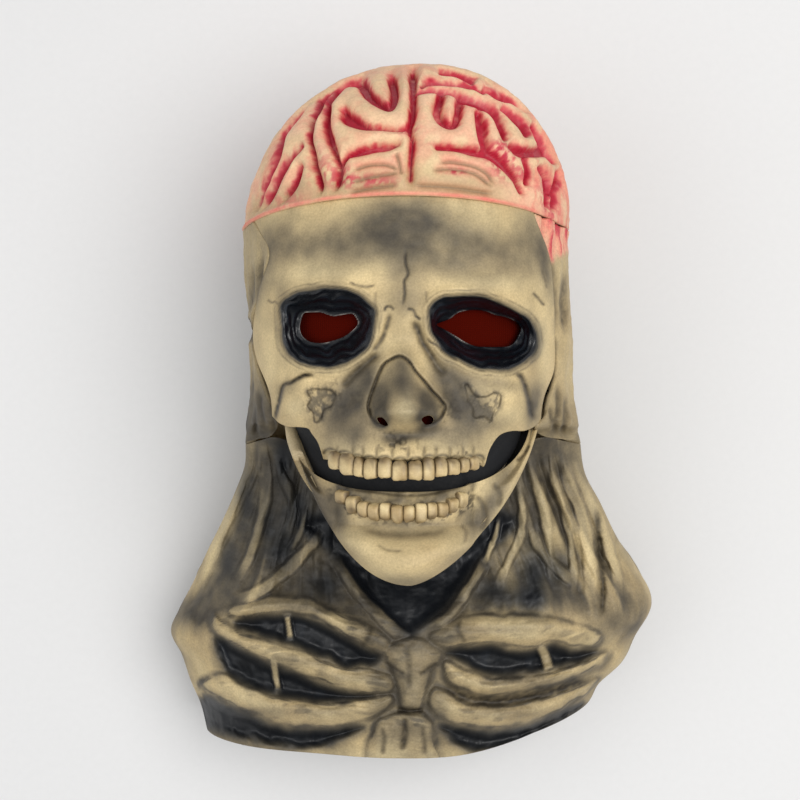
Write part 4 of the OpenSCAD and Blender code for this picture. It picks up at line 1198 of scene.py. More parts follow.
# Ribs, breastbone and the dark pockets between them, as outlines on the plan
RIB_SLABS = [
    [(-86, -105), (-74, -100), (-62, -98), (-45.5, -99), (-33, -105.5), (-16.5, -113), (-5, -120.5),
     (-8, -127), (-20, -121.5), (-33, -114), (-46, -107.5), (-62, -106), (-79, -108.5)],
    [(-93, -107), (-88, -111), (-78, -117.5), (-62, -122), (-45.5, -127.5), (-29, -134), (-16, -134.5),
     (-5, -138), (-4, -145.5), (-13, -146.5), (-20.5, -145.5), (-37, -141.5), (-54, -134.5), (-70, -128),
     (-92, -116.5)],
    [(-98.5, -140), (-87, -137.5), (-77, -143.5), (-62, -148.5), (-45.5, -151), (-29, -151.5), (-15, -149),
     (-5, -147.5), (-4, -151.5), (-14, -158.5), (-29, -162.5), (-45.5, -163.5), (-62, -161), (-78.5, -154.5),
     (-97.5, -145)],
    [(14, -119), (25, -110.5), (41.5, -107.5), (56.5, -107.5), (70.5, -108), (87, -111.5), (101, -117),
     (97, -123), (87, -123), (74.5, -121), (62, -124), (46.5, -121.5), (33, -121.5), (22.5, -124.5)],
    [(22, -131), (31, -133.5), (42, -138.5), (51.5, -139), (70.5, -137.5), (88, -133), (103, -126),
     (101, -131.5), (91, -137), (70.5, -144), (50, -147.5), (36, -146.5), (24, -140)],
    [(18, -144), (33, -151), (50, -153), (70.5, -149.5), (89.5, -143), (98, -139.5), (95.5, -145),
     (87, -150), (74.5, -158), (58, -162), (41.5, -163), (25, -160.5), (15, -152)],
]
BREASTBONE = [
    [(-8, -124.5), (-2, -120.5), (7, -118.5), (15, -120.5), (21.5, -126), (20, -131), (15.5, -136),
     (13.5, -144), (9.5, -154), (1, -154), (-1, -144), (-4, -135), (-7, -129.5)],
    [(-12.5, -163), (-6, -158.5), (1, -156), (9, -156), (14.5, -160), (17, -170), (17.5, -184), (-15, -184)],
]
POCKETS = [
    [(-81, -110), (-62, -107.5), (-46, -109), (-33, -115.5), (-20, -123), (-11, -128), (-15, -132.5),
     (-29, -132), (-45.5, -125.5), (-60, -120.5), (-78, -115)],
    [(-92, -118.5), (-70, -130), (-54, -136.5), (-37, -143.5), (-20.5, -147), (-13, -147.8), (-17, -149),
     (-29, -150.5), (-45.5, -149.8), (-62, -147), (-77, -142), (-88, -135)],
    [(-98, -148), (-78.5, -157), (-62, -163), (-45.5, -165.5), (-20.5, -163.5), (-22, -166), (-37, -172.5),
     (-49.5, -174), (-70, -170.5), (-99, -163)],
    [(23, -126.5), (33, -123.5), (46.5, -123.5), (62, -126), (74.5, -123), (87, -125), (98, -126),
     (88, -131.5), (70.5, -135.5), (51.5, -137), (43, -136.5), (33, -131.5)],
    [(21, -163), (41.5, -165.5), (58, -164.5), (74.5, -159.5), (92, -151.5), (84, -158), (70.5, -166),
     (50, -174), (38, -176), (28, -171)],
]
NECK_PIT = [(-50, -60), (-33, -79), (-21, -97), (-6, -112.5), (5, -119), (11, -115), (23, -105), (33, -92),
            (41, -80), (58, -58), (3, -48)]
# Tendons and strands: points on the plan with half widths
STRANDS = [
    ([(-34, -76, 2.4), (-27, -88, 2.4), (-19.5, -98, 2.6), (-4.5, -113, 2.8), (6, -121, 3)], 5),
    ([(45, -76, 2.4), (35, -93, 2.6), (25, -107, 2.8), (13, -117, 3)], 5),
    ([(-38, -62, 2.2), (-42, -70, 2.4), (-49.5, -78, 2.8), (-61, -88.5, 3), (-70.5, -96, 3),
      (-87.5, -103, 3)], 4.5),
    ([(-70.5, -16, 2), (-67.5, -30, 2.4), (-67, -43, 2.6), (-68.5, -55, 2.6), (-73.5, -73, 2.4),
      (-79, -86, 2.2),
      (-88, -96, 2)], 4),
    ([(-76, -22, 1.8), (-78.5, -38, 2.2), (-86, -58, 2.4), (-92, -73, 2.4), (-98, -88, 2.2),
      (-103, -100, 2)], 3.6),
    ([(-62, -26, 1.6), (-59, -38, 2), (-54.5, -48, 2), (-54, -60, 1.8), (-60, -76, 1.6)], 3.4),
    ([(-48, -52, 1.4), (-49, -64, 1.6), (-56, -78, 1.4)], 2.6),
    ([(66, -62, 2), (70, -74, 2.4), (80, -85.5, 2.4), (90, -93, 2)], 4),
    ([(66, -30, 2), (69, -41.5, 2.4), (72.5, -58, 2.4), (75, -76, 2), (76, -92, 1.8)], 3.6),
    ([(78, -20, 2), (84, -40, 2.6), (91, -58, 2.8), (95, -80, 2.8), (96, -104, 2.6)], 3.6),
    ([(84, -24, 1.8), (94, -48, 2.2), (102, -66, 2.4), (108, -86, 2.4), (110, -104, 2.2)], 3.2),
    ([(58, -40, 1.6), (61, -54, 2), (60, -68, 2), (54, -82, 2), (48, -96, 1.8)], 3.2),
    ([(73, -28, 1.4), (79, -46, 1.8), (84, -64, 1.8), (87, -86, 1.6), (86, -102, 1.4)], 3),
    ([(50, -56, 1.4), (47, -70, 1.8), (40, -86, 1.8)], 2.6),
]
STRUTS = [
    ([(-57, -106), (-55.5, -113), (-54.5, -121)], 1.6),
    ([(-64, -124), (-62.5, -136), (-60.5, -148)], 1.8),
    ([(69, -121), (72.5, -128), (75, -137)], 2.2),
]
BIB_CREASES = [
    ([(19, -141.5), (33, -149), (50, -150.8), (70.5, -147), (89.5, -140.5), (98, -136)], 1.9, -1.6, 1.0),
    ([(98, -52), (100, -75), (101.5, -95), (100.5, -111)], 1.3, -2.4, 0.8),
    ([(2, -158), (2.5, -166), (1, -176)], 1.2, -1.6, 0.8),
    ([(-9, -163), (-8, -170), (-9, -178)], 0.9, -0.8, 0.5),
    ([(11, -162), (12, -170), (12.5, -178)], 0.9, -0.8, 0.5),
    ([(-14, -112), (-16, -119), (-20, -124)], 0.9, -1.0, 0.6),
    ([(30, -109), (29, -115), (33, -122)], 0.9, -1.0, 0.6),
    ([(3, -121), (4.5, -132), (4.5, -146)], 1.0, -0.9, 0.45),
    ([(-8, -131), (0, -136), (3, -137)], 0.8, -0.9, 0.7),
    ([(19, -131), (12, -136), (9, -137.5)], 0.8, -0.9, 0.7),
    ([(-2, -154.5), (5, -155.5), (12, -155)], 1.2, -2.2, 1.0),
    ([(-106, -104), (-102, -108), (-98, -112)], 2.4, -1.0, 0.7),
]


def bar(r, points, lift):
    """Rounded cord lying on the surface, lit along its top and dark along its foot."""
    line = spline(points)
    where, px, py = r.near(line, 9)
    d, t, _, width = nearest(px, py, line)
    taper = ease(t / 0.25) * ease((1 - t) / 0.25)
    waver = rough(np.stack([px, py, 0 * px], -1), 9, 3, 12)
    d = np.maximum(0, d + 0.7 * waver * (d > 0.5))
    s = np.clip(d / (width * 1.35), 0, 1)
    tall = lift * taper * (1 + 0.3 * waver) * np.sqrt(1 - s**2)
    r.cords[where] = np.maximum(r.cords[where], tall)
    r.paint("light", where, 0.5 * taper * np.exp(-((d / (0.75 * width)) ** 2)))
    r.bare[where] = np.maximum(r.bare[where], taper * ease((width * 1.15 - d) / 1.2))


def bib_flesh(r, grid, u, flow):
    """Soft strands of the drape, deep and dark beside the neck, fading out at the ribs; the dark between the
    strands is dark paint and painted shade of their hollows, heavier on the left.
    """
    above = ease((r.y + 112) / 14)
    joined = ease((-4 - grid[..., 1] + lookup(u, BIB_TOP_Y)) / 12)
    strands = rough(flow, 8, 3, 3)
    left = ease((-20 - r.x) / 22)
    r.lift += joined * (above * 3.2 * strands + 0.8 * rough(grid, 7, 3, 5))
    # Darker where the strands sink and on the left: dark paint together with painted shade
    dark = ease(0.58 + 0.8 * left - 1.1 * strands)
    middle = 1 - ease((np.abs(r.x - 4) - 40) / 40)
    edge = ease((lookup(np.clip(u, 0, 1), [(0, 0), (0.1, 1), (0.9, 1), (1, 0)]) - 0.2) / 0.8)
    r.layer("smoke")[...] = above * edge * (dark * (0.76 + 0.24 * left) + 0.3 * middle)
    r.layer("smoke")[...] += 0.24 + 0.25 * rough(grid, 22, 3, 6)


def bib_hollows(r, grid, flow):
    """The black pit below the chin, the tendons round it and the pockets between the ribs."""
    where, d = r.depth_in(NECK_PIT)
    r.lift[where] -= 5 * ease(d / 7)
    r.paint("black", where, 0.96 * ease(0.4 + d / 8))
    for points, lift in STRANDS:
        bar(r, points, lift)
    for outline in POCKETS:
        where, d = r.depth_in(outline)
        d = d + 1.0 * rough(grid[where], 9, 2, 14)
        r.lift[where] -= 8 * ease((d + 2) / 6.6) + 0.7 * rough(flow[where], 4, 2, 15) * ease(d / 4)
        r.paint("black", where, 0.93 * ease((d + 2.5) / 6))
        r.paint("smoke", where, 0.85 * ease((d + 7) / 9))
        # Painted sheen along the floors of the pockets
        r.paint("ring", where, 0.25 * ease(d / 5) * ease(rough(flow[where], 5, 3, 16) - 0.2))


def bib_bones(r, grid):
    """Rounded slabs of the ribs and breastbone, with the struts that cross the pockets."""
    for outline in RIB_SLABS + BREASTBONE:
        where, d = r.depth_in(outline)
        p = grid[where]
        d = d + 0.8 * rough(p, 10, 3, 17)
        s = np.clip((d + 0.5) / 6.5, 0, 1)
        tall = 2.6 * np.sqrt(1 - (1 - s) ** 2) + 4.4 * ease((d + 3) / 8.5)
        tall = tall * (1 + 0.12 * rough(p, 16, 2, 18))
        r.cords[where] = np.maximum(r.cords[where], tall)
        r.bare[where] = np.maximum(r.bare[where], ease((d + 0.6) / 2.2))
        # Grey along the slab edges: dirt together with painted shade where they turn down into the pockets
        r.paint("smoke", where, 0.9 * np.exp(-((d / 2.8) ** 2)) * (0.75 + 0.5 * rough(p, 8, 2, 19)))
        # Painted highlight on the tops of the slabs
        r.paint("light", where, 0.45 * ease((d - 2.2) / 3) * ease(0.6 + rough(p, 14, 2, 20)))
    for points, half in STRUTS:
        bar(r, [(x, y, half) for x, y in points], 5)
    r.lift += r.cords


def bib_wear(r, grid):
    """Scores along the bones, bare tops and a dark band round their feet, dirt together with painted shade.
    """
    grain = np.stack([r.x * 0.22, r.y + 4 * np.sin(r.x / 26), 0 * r.x], -1)
    scores = ease(3 * np.abs(rough(grain, 2.6, 2, 23)) - 0.5) * r.bare * (r.y < -100)
    r.lift -= 0.5 * (1 - ease(2.4 * np.abs(rough(grain, 3.4, 2, 24)))) * r.bare * (r.y < -100)
    r.layer("black")[...] *= 1 - 0.97 * r.bare
    r.layer("ring")[...] *= 1 - r.bare
    r.layer("smoke")[...] *= 1 - 0.6 * r.bare
    r.paint("smoke", slice(None), 0.34 * scores * ease(0.5 + rough(grid, 9, 2, 25)))
    # Dark band round the feet of the bones and cords: dirt together with painted shade
    foot_dirt_and_shade = np.exp(-(((r.bare - 0.5) / 0.34) ** 2)) * (r.y < -96)
    r.paint("smoke", slice(None), 0.85 * foot_dirt_and_shade * ease(0.75 + rough(grid, 12, 2, 21)))
    for points, width, lift, ink in BIB_CREASES:
        r.stroke(points, width, lift, ink=ink, spread=1.5)


def bib_airbrush(r):
    """Grey and black airbrush over the drape, and the paler hem."""
    hem = ease((-165 - r.y) / 8) * ease((np.abs(r.x) - 18) / 10)
    r.layer("smoke")[...] += 0.25 * hem
    r.layer("smoke")[...] += 0.5 * ease((38 - np.abs(r.x - 3)) / 20) * ease((r.y + 128) / 10)
    r.layer("smoke")[...] += 0.42 * ease((24 - np.abs(r.x - 4)) / 10) * ease((-118 - r.y) / 8)
    for x, y, rx, ry, amount in [
            (67, -88, 8, 16, 0.9), (-77, -50, 5, 15, 0.6), (-58, -30, 5, 13, 0.95),
            (-50, -52, 6, 10, 0.7), (-66, -62, 4, 14, 0.5), (-38, -92, 9, 8, 0.75),
            (-60, -78, 6, 8, 0.6), (80, -84, 6, 10, 0.5), (46, -96, 10, 6, 0.6), (63, -100, 14, 5, 0.5),
            (-86, -80, 5, 12, 0.6), (-57, -66, 7, 12, 0.6)]:
        r.blob(x, y, rx, ry, ink=amount, layer="black")
    for x, y, rx, ry, amount in [
            (-102, -106, 8, 8, 0.95), (110, -112, 10, 8, 0.5), (88, -160, 12, 5, 0.4)]:
        r.blob(x, y, rx, ry, ink=amount)
    r.layer("smoke")[...] += 0.4 * ease((r.y + 62) / 36) * ease((np.abs(r.x - 4) - 54) / 12)
    for x, y, rx, ry in [(-30, -139, 22, 3), (-50, -131, 20, 3), (56, -141, 24, 2.5), (50, -157, 26, 3),
                         (-50, -156, 26, 3), (-40, -105, 20, 2.5), (50, -115, 24, 3)]:
        r.blob(x, y, rx, ry, ink=0.3)
    r.layer("light")[...] += 0.4 * ease((-172 - r.y) / 6) * ease((60 - np.abs(r.x)) / 20)
    r.layer("smoke")[...] *= 1 - 0.45 * ease((-168 - r.y) / 8) * ease((60 - np.abs(r.x)) / 20)


def build_bib(mat):
    grid = bib_grid(250, 340)
    r = Relief(grid)
    r.cords = np.zeros(r.x.shape)
    r.bare = np.zeros(r.x.shape)
    u = np.linspace(0, 1, grid.shape[1])[None, :] + 0 * r.x
    flow = np.stack([u * 260, r.y * 0.16, 0 * r.x], -1)
    bib_flesh(r, grid, u, flow)
    bib_hollows(r, grid, flow)
    bib_bones(r, grid)
    r.lift *= ease(np.minimum(u, 1 - u) / 0.018)
    bib_wear(r, grid)
    bib_airbrush(r)
    toward_view = unit(np.array([0, 0, VIEW_Z]) - grid)
    r.normal = unit(mix(r.normal, toward_view, ease((r.normal[..., 2:] - 0.3) / 0.3)))
    return finish_skin("chest_bib_skin", r, mat, ["chest_bib"], gloss=0.5 * sheen_of(r))


# --- Lower jaw ---

JAW_CREASES = [
    ([(-50, -24), (-48.5, -32), (-44, -41), (-39, -47)], 1.2, -1.0, 0.6),
    ([(-46, -42), (-42, -52), (-37.5, -60), (-33, -68)], 1.6, -0.9, 0.45),
    ([(-32, -48), (-27, -52), (-25, -56)], 0.9, -0.7, 0.6),
    ([(37, -47), (41, -52), (42.5, -60), (40, -67)], 1.4, -0.9, 0.5),
    ([(46, -41), (50, -47), (49, -54)], 1.3, -0.9, 0.5),
    ([(30, -62), (33, -66), (32, -72)], 0.9, -0.6, 0.4),
    ([(-20, -64), (-10, -66.5), (3, -67.5), (16, -66.5), (26, -64)], 2.0, -1.0, 0.3),
    ([(-12, -72), (-6, -75), (2, -75.5)], 0.8, -0.4, 0.3),
    ([(58, -31), (62, -27), (65, -22)], 0.9, -0.7, 0.6),
]


def jaw_grid(rows, cols):
    t = np.interp(np.linspace(1, 0, rows), [0, 0.68, 1], [0, 1, 2])[:, None]
    a = np.linspace(0, 180, cols)
    a = mix(a, 90 - 90 * np.cos(np.radians(a)), 0.35)[None, :]
    return jaw_point(a + 0 * t, t + 0 * a)


def build_jaw(mat):
    grid = jaw_grid(170, 260)
    r = Relief(grid)
    t = np.interp(np.linspace(1, 0, 170), [0, 0.68, 1], [0, 1, 2])[:, None] + 0 * r.x
    r.front = t < 1.35
    arc = 7.5 * np.clip(np.abs(r.x - 3) / 37, 0, 1.2) ** 2.4
    gum = np.exp(-(((r.y - arc + 47.5) / 4.4) ** 2)) * ease((38 - np.abs(r.x - 3)) / 8) * r.front
    ridge = ease((-42 + arc - r.y) / 6) * ease((r.y - arc + 66) / 9) * ease((42 - np.abs(r.x - 2)) / 12)
    r.lift += 3.4 * ridge * r.front
    near_teeth = ridge * ease((-49 + arc - r.y) / 4) * r.front
    r.layer("ink")[...] += near_teeth * 0.8 * ease(2.2 * rough(grid, 2.6, 3, 9) - 0.2)
    p = np.stack([r.x, r.y * 0.6, 0 * r.x], -1)
    wrinkle = rough(p, 5.5, 3, 4)
    r.lift += gum * (1.2 * wrinkle + 0.8)
    r.layer("smoke")[...] += 0.62 * ease(gum * 1.8) * (0.85 + 0.5 * wrinkle)
    for k in range(4):
        line = [(x, -38.6 - 2.9 * k + 7.5 * (abs(x - 3) / 37) ** 2.4 + 0.6 * np.sin(0.31 * x + 2 * k))
                for x in (-33, -24, -12, 0, 12, 24, 36)]
        r.stroke(line, 0.8, -0.8, ink=0.5, fade=0.25)
    for points, width, lift, ink in JAW_CREASES:
        r.stroke(points, width, lift, ink=ink)
    r.blob(3, -80, 18, 9, lift=1.2, ink=0.1)
    # Grey airbrush on the jaw, heavier down its sides and along its lower edge as painted shade
    for x, y, rx, ry, amount, turn in [
            (-36, -62, 5, 14, 0.35, 25), (40, -62, 5, 12, 0.4, -25), (3, -66.5, 26, 3, 0.35, 0),
            (-46, -38, 4, 10, 0.5, 20), (52, -38, 5, 9, 0.45, -40), (-30, -58, 4, 6, 0.45, 10),
            (34, -57, 5, 6, 0.5, 0), (-33, -50, 7, 8, 0.7, 20),
            (-42, -50, 5, 16, 0.5, 22), (46, -52, 5, 12, 0.45, -28), (3, -62, 34, 2.4, 0.4, 0),
            (3, -92, 34, 4, 0.4, 0), (-24, -78, 8, 8, 0.2, 40), (28, -80, 8, 8, 0.25, -40)]:
        r.blob(x, y, rx, ry, ink=amount, turn=turn)
    # Painted highlights on the chin and beside it
    for x, y, rx, ry, amount in [(4, -80, 16, 9, 0.1), (-26, -68, 7, 7, 0.25), (28, -70, 7, 6, 0.25)]:
        r.blob(x, y, rx, ry, ink=amount, layer="light")
    r.layer("black")[...] += ease((t - 1.12) / 0.3) * 0.9
    r.lift += 0.5 * rough(grid, 9, 3, 6) * ease((1.4 - t) / 0.3)
    return finish_skin("lower_jaw_skin", r, mat, ["lower_jaw"], body="jaw",
                       gloss=sheen_of(r))


# --- Teeth ---

ENAMEL = (203, 181, 134)
ROOT_STAIN = (66, 52, 34)


def tooth(mid, wide, top, low, radius, centre_z, deep, upper, seed):
    """One rounded tooth on its arch: points, stain shares and quads."""
    rows, cols = 22, 30
    lat = np.radians(np.linspace(-90, 90, rows))[:, None]
    lon = np.radians(np.linspace(0, 360, cols, endpoint=False))[None, :]
    ring = power(np.cos(lat), 0.42)
    x = 0.5 * wide * ring * power(np.cos(lon), 0.62)
    z = 0.5 * deep * ring * power(np.sin(lon), 0.75)
    h = power(np.sin(lat), 0.5) + 0 * lon
    tip = -h if upper else h
    x = x * (1 + 0.07 * tip - 0.2 * np.clip(-tip, 0, 1) ** 4)
    y = mix(low, top, 0.5 + 0.5 * h) + 0 * x
    p = np.stack([x + mid, y, z], -1)
    z = z + 0.22 * rough(p * [1, 0.35, 1], 2.2, 2, seed) - 0.9 * np.clip(-tip, 0, 1) ** 2
    z = z - (0.3 if upper else 0.9) * np.clip(tip, 0, 1) ** 3
    x = x + 0.15 * rough(p, 3.4, 2, seed + 2)
    y = y + 0.5 * rough(p, 3.0, 2, seed + 4)
    turn = np.arcsin(np.clip((mid - TEETH_MID) / radius, -0.93, 0.93))
    out = radius - deep / 2 + z
    points = np.stack([TEETH_MID + out * np.sin(turn) + x * np.cos(turn), y,
                       centre_z + out * np.cos(turn) - x * np.sin(turn)], -1)
    stain = ease(0.2 - tip * 0.9 + 0.25 * rough(p, 2.5, 2, seed))
    side = 1.2 * ease((np.abs(x) / (0.5 * wide) - 0.74) / 0.26)
    i, j = np.meshgrid(np.arange(rows - 1), np.arange(cols), indexing="ij")
    k = (j + 1) % cols
    quads = np.stack([i * cols + j, (i + 1) * cols + j, (i + 1) * cols + k, i * cols + k], -1).reshape(-1, 4)
    return points.reshape(-1, 3), np.maximum(stain, side).reshape(-1), quads


def build_teeth(name, edges, line_top, line_low, radius, centre_z, deep, upper, mat, body):
    """Row of teeth between neighbouring edges; the lines give their upper and lower ends."""
    points, stains, faces, start = [], [], [], 0
    for k, (a, b) in enumerate(zip(edges, edges[1:])):
        mid = (a + b) / 2 * 0.977
        top = lookup(np.array(mid), line_top)
        low = lookup(np.array(mid), line_low) + 0.9 * np.sin(2.4 * k + 1) * np.sin(1.1 * k)
        top = top + 0.7 * np.sin(1.9 * k)
        slant = np.cos(np.arcsin(np.clip((mid - TEETH_MID) / radius, -0.9, 0.9)))
        wide = (b - a) * 0.977 / max(slant, 0.62) * (0.975 + 0.045 * np.sin(2.9 * k))
        p, s, f = tooth(mid, wide, top, low, radius, centre_z, deep, upper, 3.7 * k + (20 if upper else 60))
        points.append(p)
        stains.append(s)
        faces.append(f + start)
        start += len(p)
    obj = mesh_object(name, np.vstack(points), np.vstack(faces))
    p = np.vstack(points)
    c = np.broadcast_to(np.array(ENAMEL, float), p.shape).copy()
    c = coat(c, BONE_LIGHT, 0.3 + 0.5 * rough(p, 8, 2, 1))
    c = coat(c, BONE_DEEP, 0.5 + 0.7 * rough(p, 5, 2, 2))
    c = coat(c, ROOT_STAIN, np.concatenate(stains) * (0.6 + 0.3 * rough(p, 3, 2, 3)) * (1 if upper else 0.75))
    tint(obj, c, np.full(len(p), 0.35))
    tidy_mesh(obj)
    obj.data.materials.append(mat)
    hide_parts(name.replace("_row", ""))
    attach(obj, body)
    return obj


LOWER_EDGES = [-35, -29, -23, -17.2, -11.2, -5, 1.4, 8, 14, 19.8, 25.4, 31, 36]


# --- Lining, gusset and screens ---


def cloth(name, outer, thickness, mat, replaces):
    """Thin sheet of fabric with an even thickness."""
    inner = outer - grid_normals(outer) * thickness
    obj, _ = shell(name, outer, inner)
    obj.data.materials.append(mat)
    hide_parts(*replaces)
    return obj


def lining_grid(rows, cols):
    """Membrane behind the mouth, from under the cheekbones and upper gum to inside the jaw."""
    s = np.linspace(0, 1, cols)[None, :]
    v = np.linspace(0, 1, rows)[:, None]
    top_x = lookup(s, [(0, -57), (0.1, -50), (0.22, -38), (0.5, 2.5), (0.78, 42), (0.9, 54), (1, 64)])
    top_y = lookup(s, [(0, -6), (0.1, -8), (0.22, -20), (0.5, -22), (0.78, -22), (0.9, -10), (1, -8)])
    a = mix(12, 168, s)
    rim = jaw_point(a + 0 * v, 0 * v + 0 * a)
    low_x, low_y, low_z = rim[..., 0] * 0.95 + 0.2, rim[..., 1] + 1.5, rim[..., 2] - 7
    top_z = face_z(top_x, top_y) - 17
    x, y = mix(low_x, top_x, v), mix(low_y - 5 * np.sin(np.radians(a)), top_y, v)
    z = mix(low_z, top_z, v) - 5 * np.sin(np.pi * v) * np.sin(np.pi * s)
    p = np.stack([x * 0.5, y, z], -1)
    return np.stack([x, y, z + 0.7 * rough(p, 7, 2, 3) * np.sin(np.pi * v)], -1)


def bib_edge(u):
    x, y = lookup(u, BIB_TOP_X), lookup(u, BIB_TOP_Y)
    return np.stack([x, y, bib_z(x, y)], -1)


def gusset_grid(rows, cols):
    s = np.linspace(0, 1, cols)[None, :]
    v = np.linspace(0, 1, rows)[:, None]
    jaw = jaw_point(mix(12, 168, s), 2 + 0 * s)
    edge = bib_edge(mix(0.2, 0.8, s))

    def inward(p, d):
        way = np.stack([JAW_MID - p[..., 0], -8 - p[..., 1], 0 * p[..., 2]], -1)
        return p + np.asarray(d)[..., None] * unit(way)

    top = inward(jaw, 6 + 5 * np.sin(np.pi * s)) + [0, 0, 1]
    low = inward(edge, 5.5 + 0 * s) - [0, 0, SKIN]
    g = mix(low, top, v[..., None])
    folds = 0.8 * np.sin(s * 60 + 3 * v) * np.sin(np.pi * v)
    return g + unit(np.stack([JAW_MID - g[..., 0], -8 - g[..., 1], 0 * g[..., 2]], -1)) * folds[..., None]


def screen_grid(x0, x1, y0, y1, deep, rows, cols):
    x, y = np.meshgrid(np.linspace(x0, x1, cols), np.linspace(y0, y1, rows))
    z = face_z(x, y) - deep
    return np.stack([x, y, z + 0.3 * rough(np.stack([x, y, 0 * x], -1), 14, 2, 4)], -1)


def build_screens(mat):
    for name, node, box, deep in [
            ("left_eye_screen_cloth", "left_eye_screen", (-54, -17, 26, 47), 20.5),
            ("right_eye_screen_cloth", "right_eye_screen", (15, 65, 24, 48), 20.5),
            ("nostril_screen_cloth", "nostril_screen", (-14, 20, -17, -4), 5)]:
        g = screen_grid(*box, deep, 24, 48)
        obj = cloth(name, g, 0.7, mat, [node])
        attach(obj, "head")


# --- Pads and strap ---


def pad(name, outer, thickness, mat, node, body):
    """Foam pad with crowned faces, sides that pull in and a stitched edge channel."""
    rows, cols = outer.shape[:2]
    v = np.linspace(0, 1, rows)[:, None] + 0 * outer[..., 0]
    u = np.linspace(0, 1, cols)[None, :] + 0 * outer[..., 0]
    to_edge = np.minimum(np.minimum(u, 1 - u) * cols, np.minimum(v, 1 - v) * rows)
    crown = np.sqrt(np.clip(to_edge / 5, 0, 1))
    channel = np.exp(-(((to_edge - 3.4) / 0.8) ** 2))
    half = thickness / 2 * (0.28 + 0.72 * crown) - 0.55 * channel
    n = grid_normals(outer)
    middle = outer - n * thickness / 2
    ripple = 0.25 * rough(middle, 9, 2, 5)
    obj, _ = shell(name, middle + n * (half + ripple)[..., None], middle - n * (half + ripple)[..., None])
    obj.data.materials.append(mat)
    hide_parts(node)
    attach(obj, body)
    return obj


def build_pads(mat):
    x, y = np.meshgrid(np.linspace(-42, 49, 70), np.linspace(65, 91, 24))
    g = np.stack([x, y, face_z(x, y)], -1)
    pad("forehead_pad_foam", g - grid_normals(g) * (SKIN + 1), 6.6, mat, "forehead_pad", "head")
    q, a = np.meshgrid(np.linspace(28, 55, 26), np.linspace(138, 42, 60), indexing="ij")
    g = brain_point(q, a)
    pad("crown_pad_foam", g - grid_normals(g) * (SKIN + 6), 6.6, mat, "crown_pad", "head")
    core = np.array([JAW_MID, -66, 130])
    t, a = np.meshgrid(np.linspace(0.94, 0.67, 22), np.linspace(66, 114, 44), indexing="ij")
    p = jaw_point(a, t)
    way = unit(core - p)
    pad("chin_cup_foam", p + way * (SKIN + 4.2), 6.4, mat, "chin_cup", "jaw")


def build_strap(mat):
    """Elastic band inside the back of the hood, ribbed along its length."""
    v = np.linspace(-12, 12, 15)[:, None]
    ring = np.linspace(0.05, 0.95, 220)
    y = 48 + v + 0 * ring
    side = np.where(ring < 0.5, 1, -1)
    up = np.clip((0.16 - np.minimum(ring, 1 - ring)) / 0.16, 0, 1)
    a = np.radians(180 * np.clip((ring - 0.16) / 0.68, 0, 1))
    e = 2 / ROUND_P
    half, middle = side_half(y), side_mid(y)
    edge = np.where(side > 0, edge_x(y, True), edge_x(y, False))
    top = np.where(side > 0, edge_z(y, True), edge_z(y, False))
    x = np.where(up > 0, mix(middle + side * half, edge, up**2.2), middle + half * power(np.cos(a), e))
    z = np.where(up > 0, mix(AXIS_Z, top, up), np.maximum(0, AXIS_Z - (AXIS_Z + 2) * np.sin(a) ** e))
    g = np.stack([x, y, z], -1)
    g = g - grid_normals(g) * (SKIN + 1.6)
    ribs = 0.18 * np.cos(np.linspace(0, 7 * 2 * np.pi, 15))[:, None]
    n = grid_normals(g)
    obj, _ = shell("head_strap_elastic", g + n * ribs[..., None], g - n * (1.4 + ribs)[..., None])
    obj.data.materials.append(mat)
    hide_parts("head_strap")
    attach(obj, "head")


def dress_nodes(plastic, metal):
    """CAD nodes that show keep their shape and take moulded and rolled finishes."""
    for name, obj in nodes.items():
        if obj.hide_render:
            continue
        mat = metal if ("rivet" in name or "snap" in name) else plastic
        obj.data.materials.clear()
        obj.data.materials.append(mat)


# --- Stage ---

FLOOR_HALF = 3.0
FLOOR_DROP = 0.0003


def build_stage():
    mesh = bpy.data.meshes.new("floor")
    corners = [(-FLOOR_HALF, -FLOOR_HALF, 0), (FLOOR_HALF, -FLOOR_HALF, 0), (FLOOR_HALF, FLOOR_HALF, 0),
               (-FLOOR_HALF, FLOOR_HALF, 0)]
    mesh.from_pydata(corners, [], [(0, 1, 2, 3)])
    floor = bpy.data.objects.new("floor", mesh)
    bpy.context.scene.collection.objects.link(floor)
    mesh.materials.append(plain("floor_board", (217, 217, 217), 0.75, grain=220.0, vary=0.012, depth=0.00005))
    floor.location.z = -FLOOR_DROP


def area_light(name, place, target, size, power_w, colour):
    data = bpy.data.lights.new(name, "AREA")
    data.shape = "DISK"
    data.size = size
    data.energy = power_w
    data.color = colour
    lamp = bpy.data.objects.new(name, data)
    bpy.context.scene.collection.objects.link(lamp)
    lamp.location = place
    way = np.array(target, float) - np.array(place, float)
    lamp.rotation_mode = "QUATERNION"
    lamp.rotation_quaternion = Vector(way).to_track_quat("-Z", "Y")


def build_lights():
    area_light("key", (0.55, 0.05, 1.4), (0.03, 0, 0.08), 1.1, 14.5, (1.0, 0.985, 0.965))
    area_light("fill", (-1.1, -0.1, 1.1), (-0.3, 0, 0.0), 1.2, 5, (0.97, 0.98, 1.0))
    world = bpy.data.worlds.new("studio")
    world.use_nodes = True
    world.node_tree.nodes["Background"].inputs["Color"].default_value = (0.975, 0.98, 0.985, 1)
    world.node_tree.nodes["Background"].inputs["Strength"].default_value = 0.62
    bpy.context.scene.world = world
    bpy.context.scene.view_settings.view_transform = "Standard"


def build_camera():
    data = bpy.data.cameras.new("camera")
    data.sensor_width = 36
    half_view = 200.0
    data.lens = 18 * (VIEW_Z - PLAN_Z) / half_view
    data.clip_start, data.clip_end = 0.01, 20
    camera = bpy.data.objects.new("camera", data)
    bpy.context.scene.collection.objects.link(camera)
    camera.location = (PLACE[0] * MM, PLACE[1] * MM, VIEW_Z * MM)
    bpy.context.scene.camera = camera


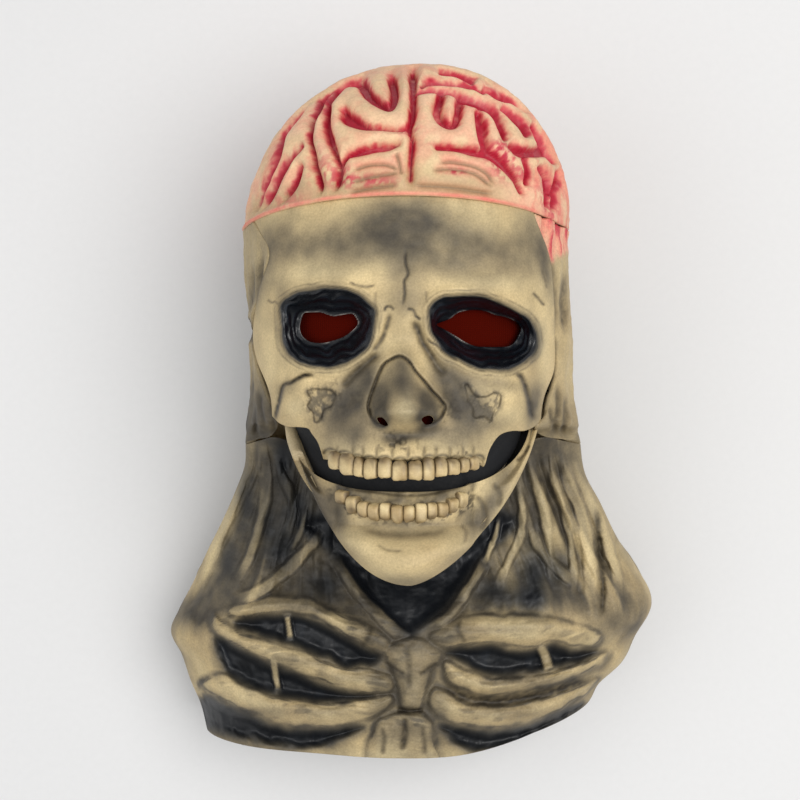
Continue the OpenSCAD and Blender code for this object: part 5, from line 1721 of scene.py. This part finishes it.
def build():
    latex = painted_latex("painted_bone_latex", 0.62, 0.2)
    brain = painted_latex("painted_brain_latex", 0.6, 0.28, speckle=0.12, grain=700.0)
    hood = painted_latex("painted_drape_latex", 0.6, 0.25, speckle=0.18, grain=800.0)
    teeth = painted_latex("painted_tooth_latex", 0.5, 0.34, speckle=0.1, grain=1100.0)
    black = plain("black_stretch_latex", (12, 14, 18), 0.8, grain=500.0, vary=0.2, depth=0.0002)
    screen = woven("red_screen_cloth", (72, 8, 0), 0.0011, 1.0, vary=0.15)
    foam = plain("grey_foam", (70, 70, 72), 0.92, grain=1500.0, vary=0.2, depth=0.0004)
    elastic = woven("black_elastic", (26, 26, 30), 0.0013, 0.8)
    plastic = plain("black_moulded_plastic", (32, 34, 40), 0.42, grain=900.0, vary=0.1)
    metal = plain("brushed_steel", (168, 168, 164), 0.32, metallic=1.0, grain=1200.0, vary=0.08)
    build_face(latex)
    build_brain(brain)
    build_hood(hood)
    build_nape(hood)
    build_bib(hood)
    build_jaw(latex)
    build_teeth("upper_teeth_row", TOOTH_EDGES, GUM_LINE,
                [(-40, -32.5), (-30, -36), (-12, -38.6), (3, -39), (22, -38),
                 (40, -34)], 47.0, 165.5, 6, True,
                teeth, "head")
    build_teeth("lower_teeth_row", LOWER_EDGES,
                [(-40, -40), (-34, -43.5), (-28, -47.5), (-20, -50), (-12, -51), (3, -51.5),
                 (20, -50.5), (30, -48),
                 (36, -45.5)],
                [(-40, -45.5), (-34, -50), (-28, -55), (-20, -58), (-12, -60), (3, -60.5), (20, -59),
                 (30, -55.5),
                 (36, -52)], 44.3, 158.5, 6, False, teeth, "jaw")
    g = lining_grid(40, 120)
    lining = cloth("mouth_lining_cloth", g, 1.0, black, ["mouth_lining"])
    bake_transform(lining)
    g = gusset_grid(30, 150)
    gusset = cloth("throat_gusset_cloth", g, 1.0, black, ["throat_gusset"])
    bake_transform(gusset)
    build_screens(screen)
    build_pads(foam)
    build_strap(elastic)
    dress_nodes(plastic, metal)
    build_stage()
    build_lights()
    build_camera()


build()
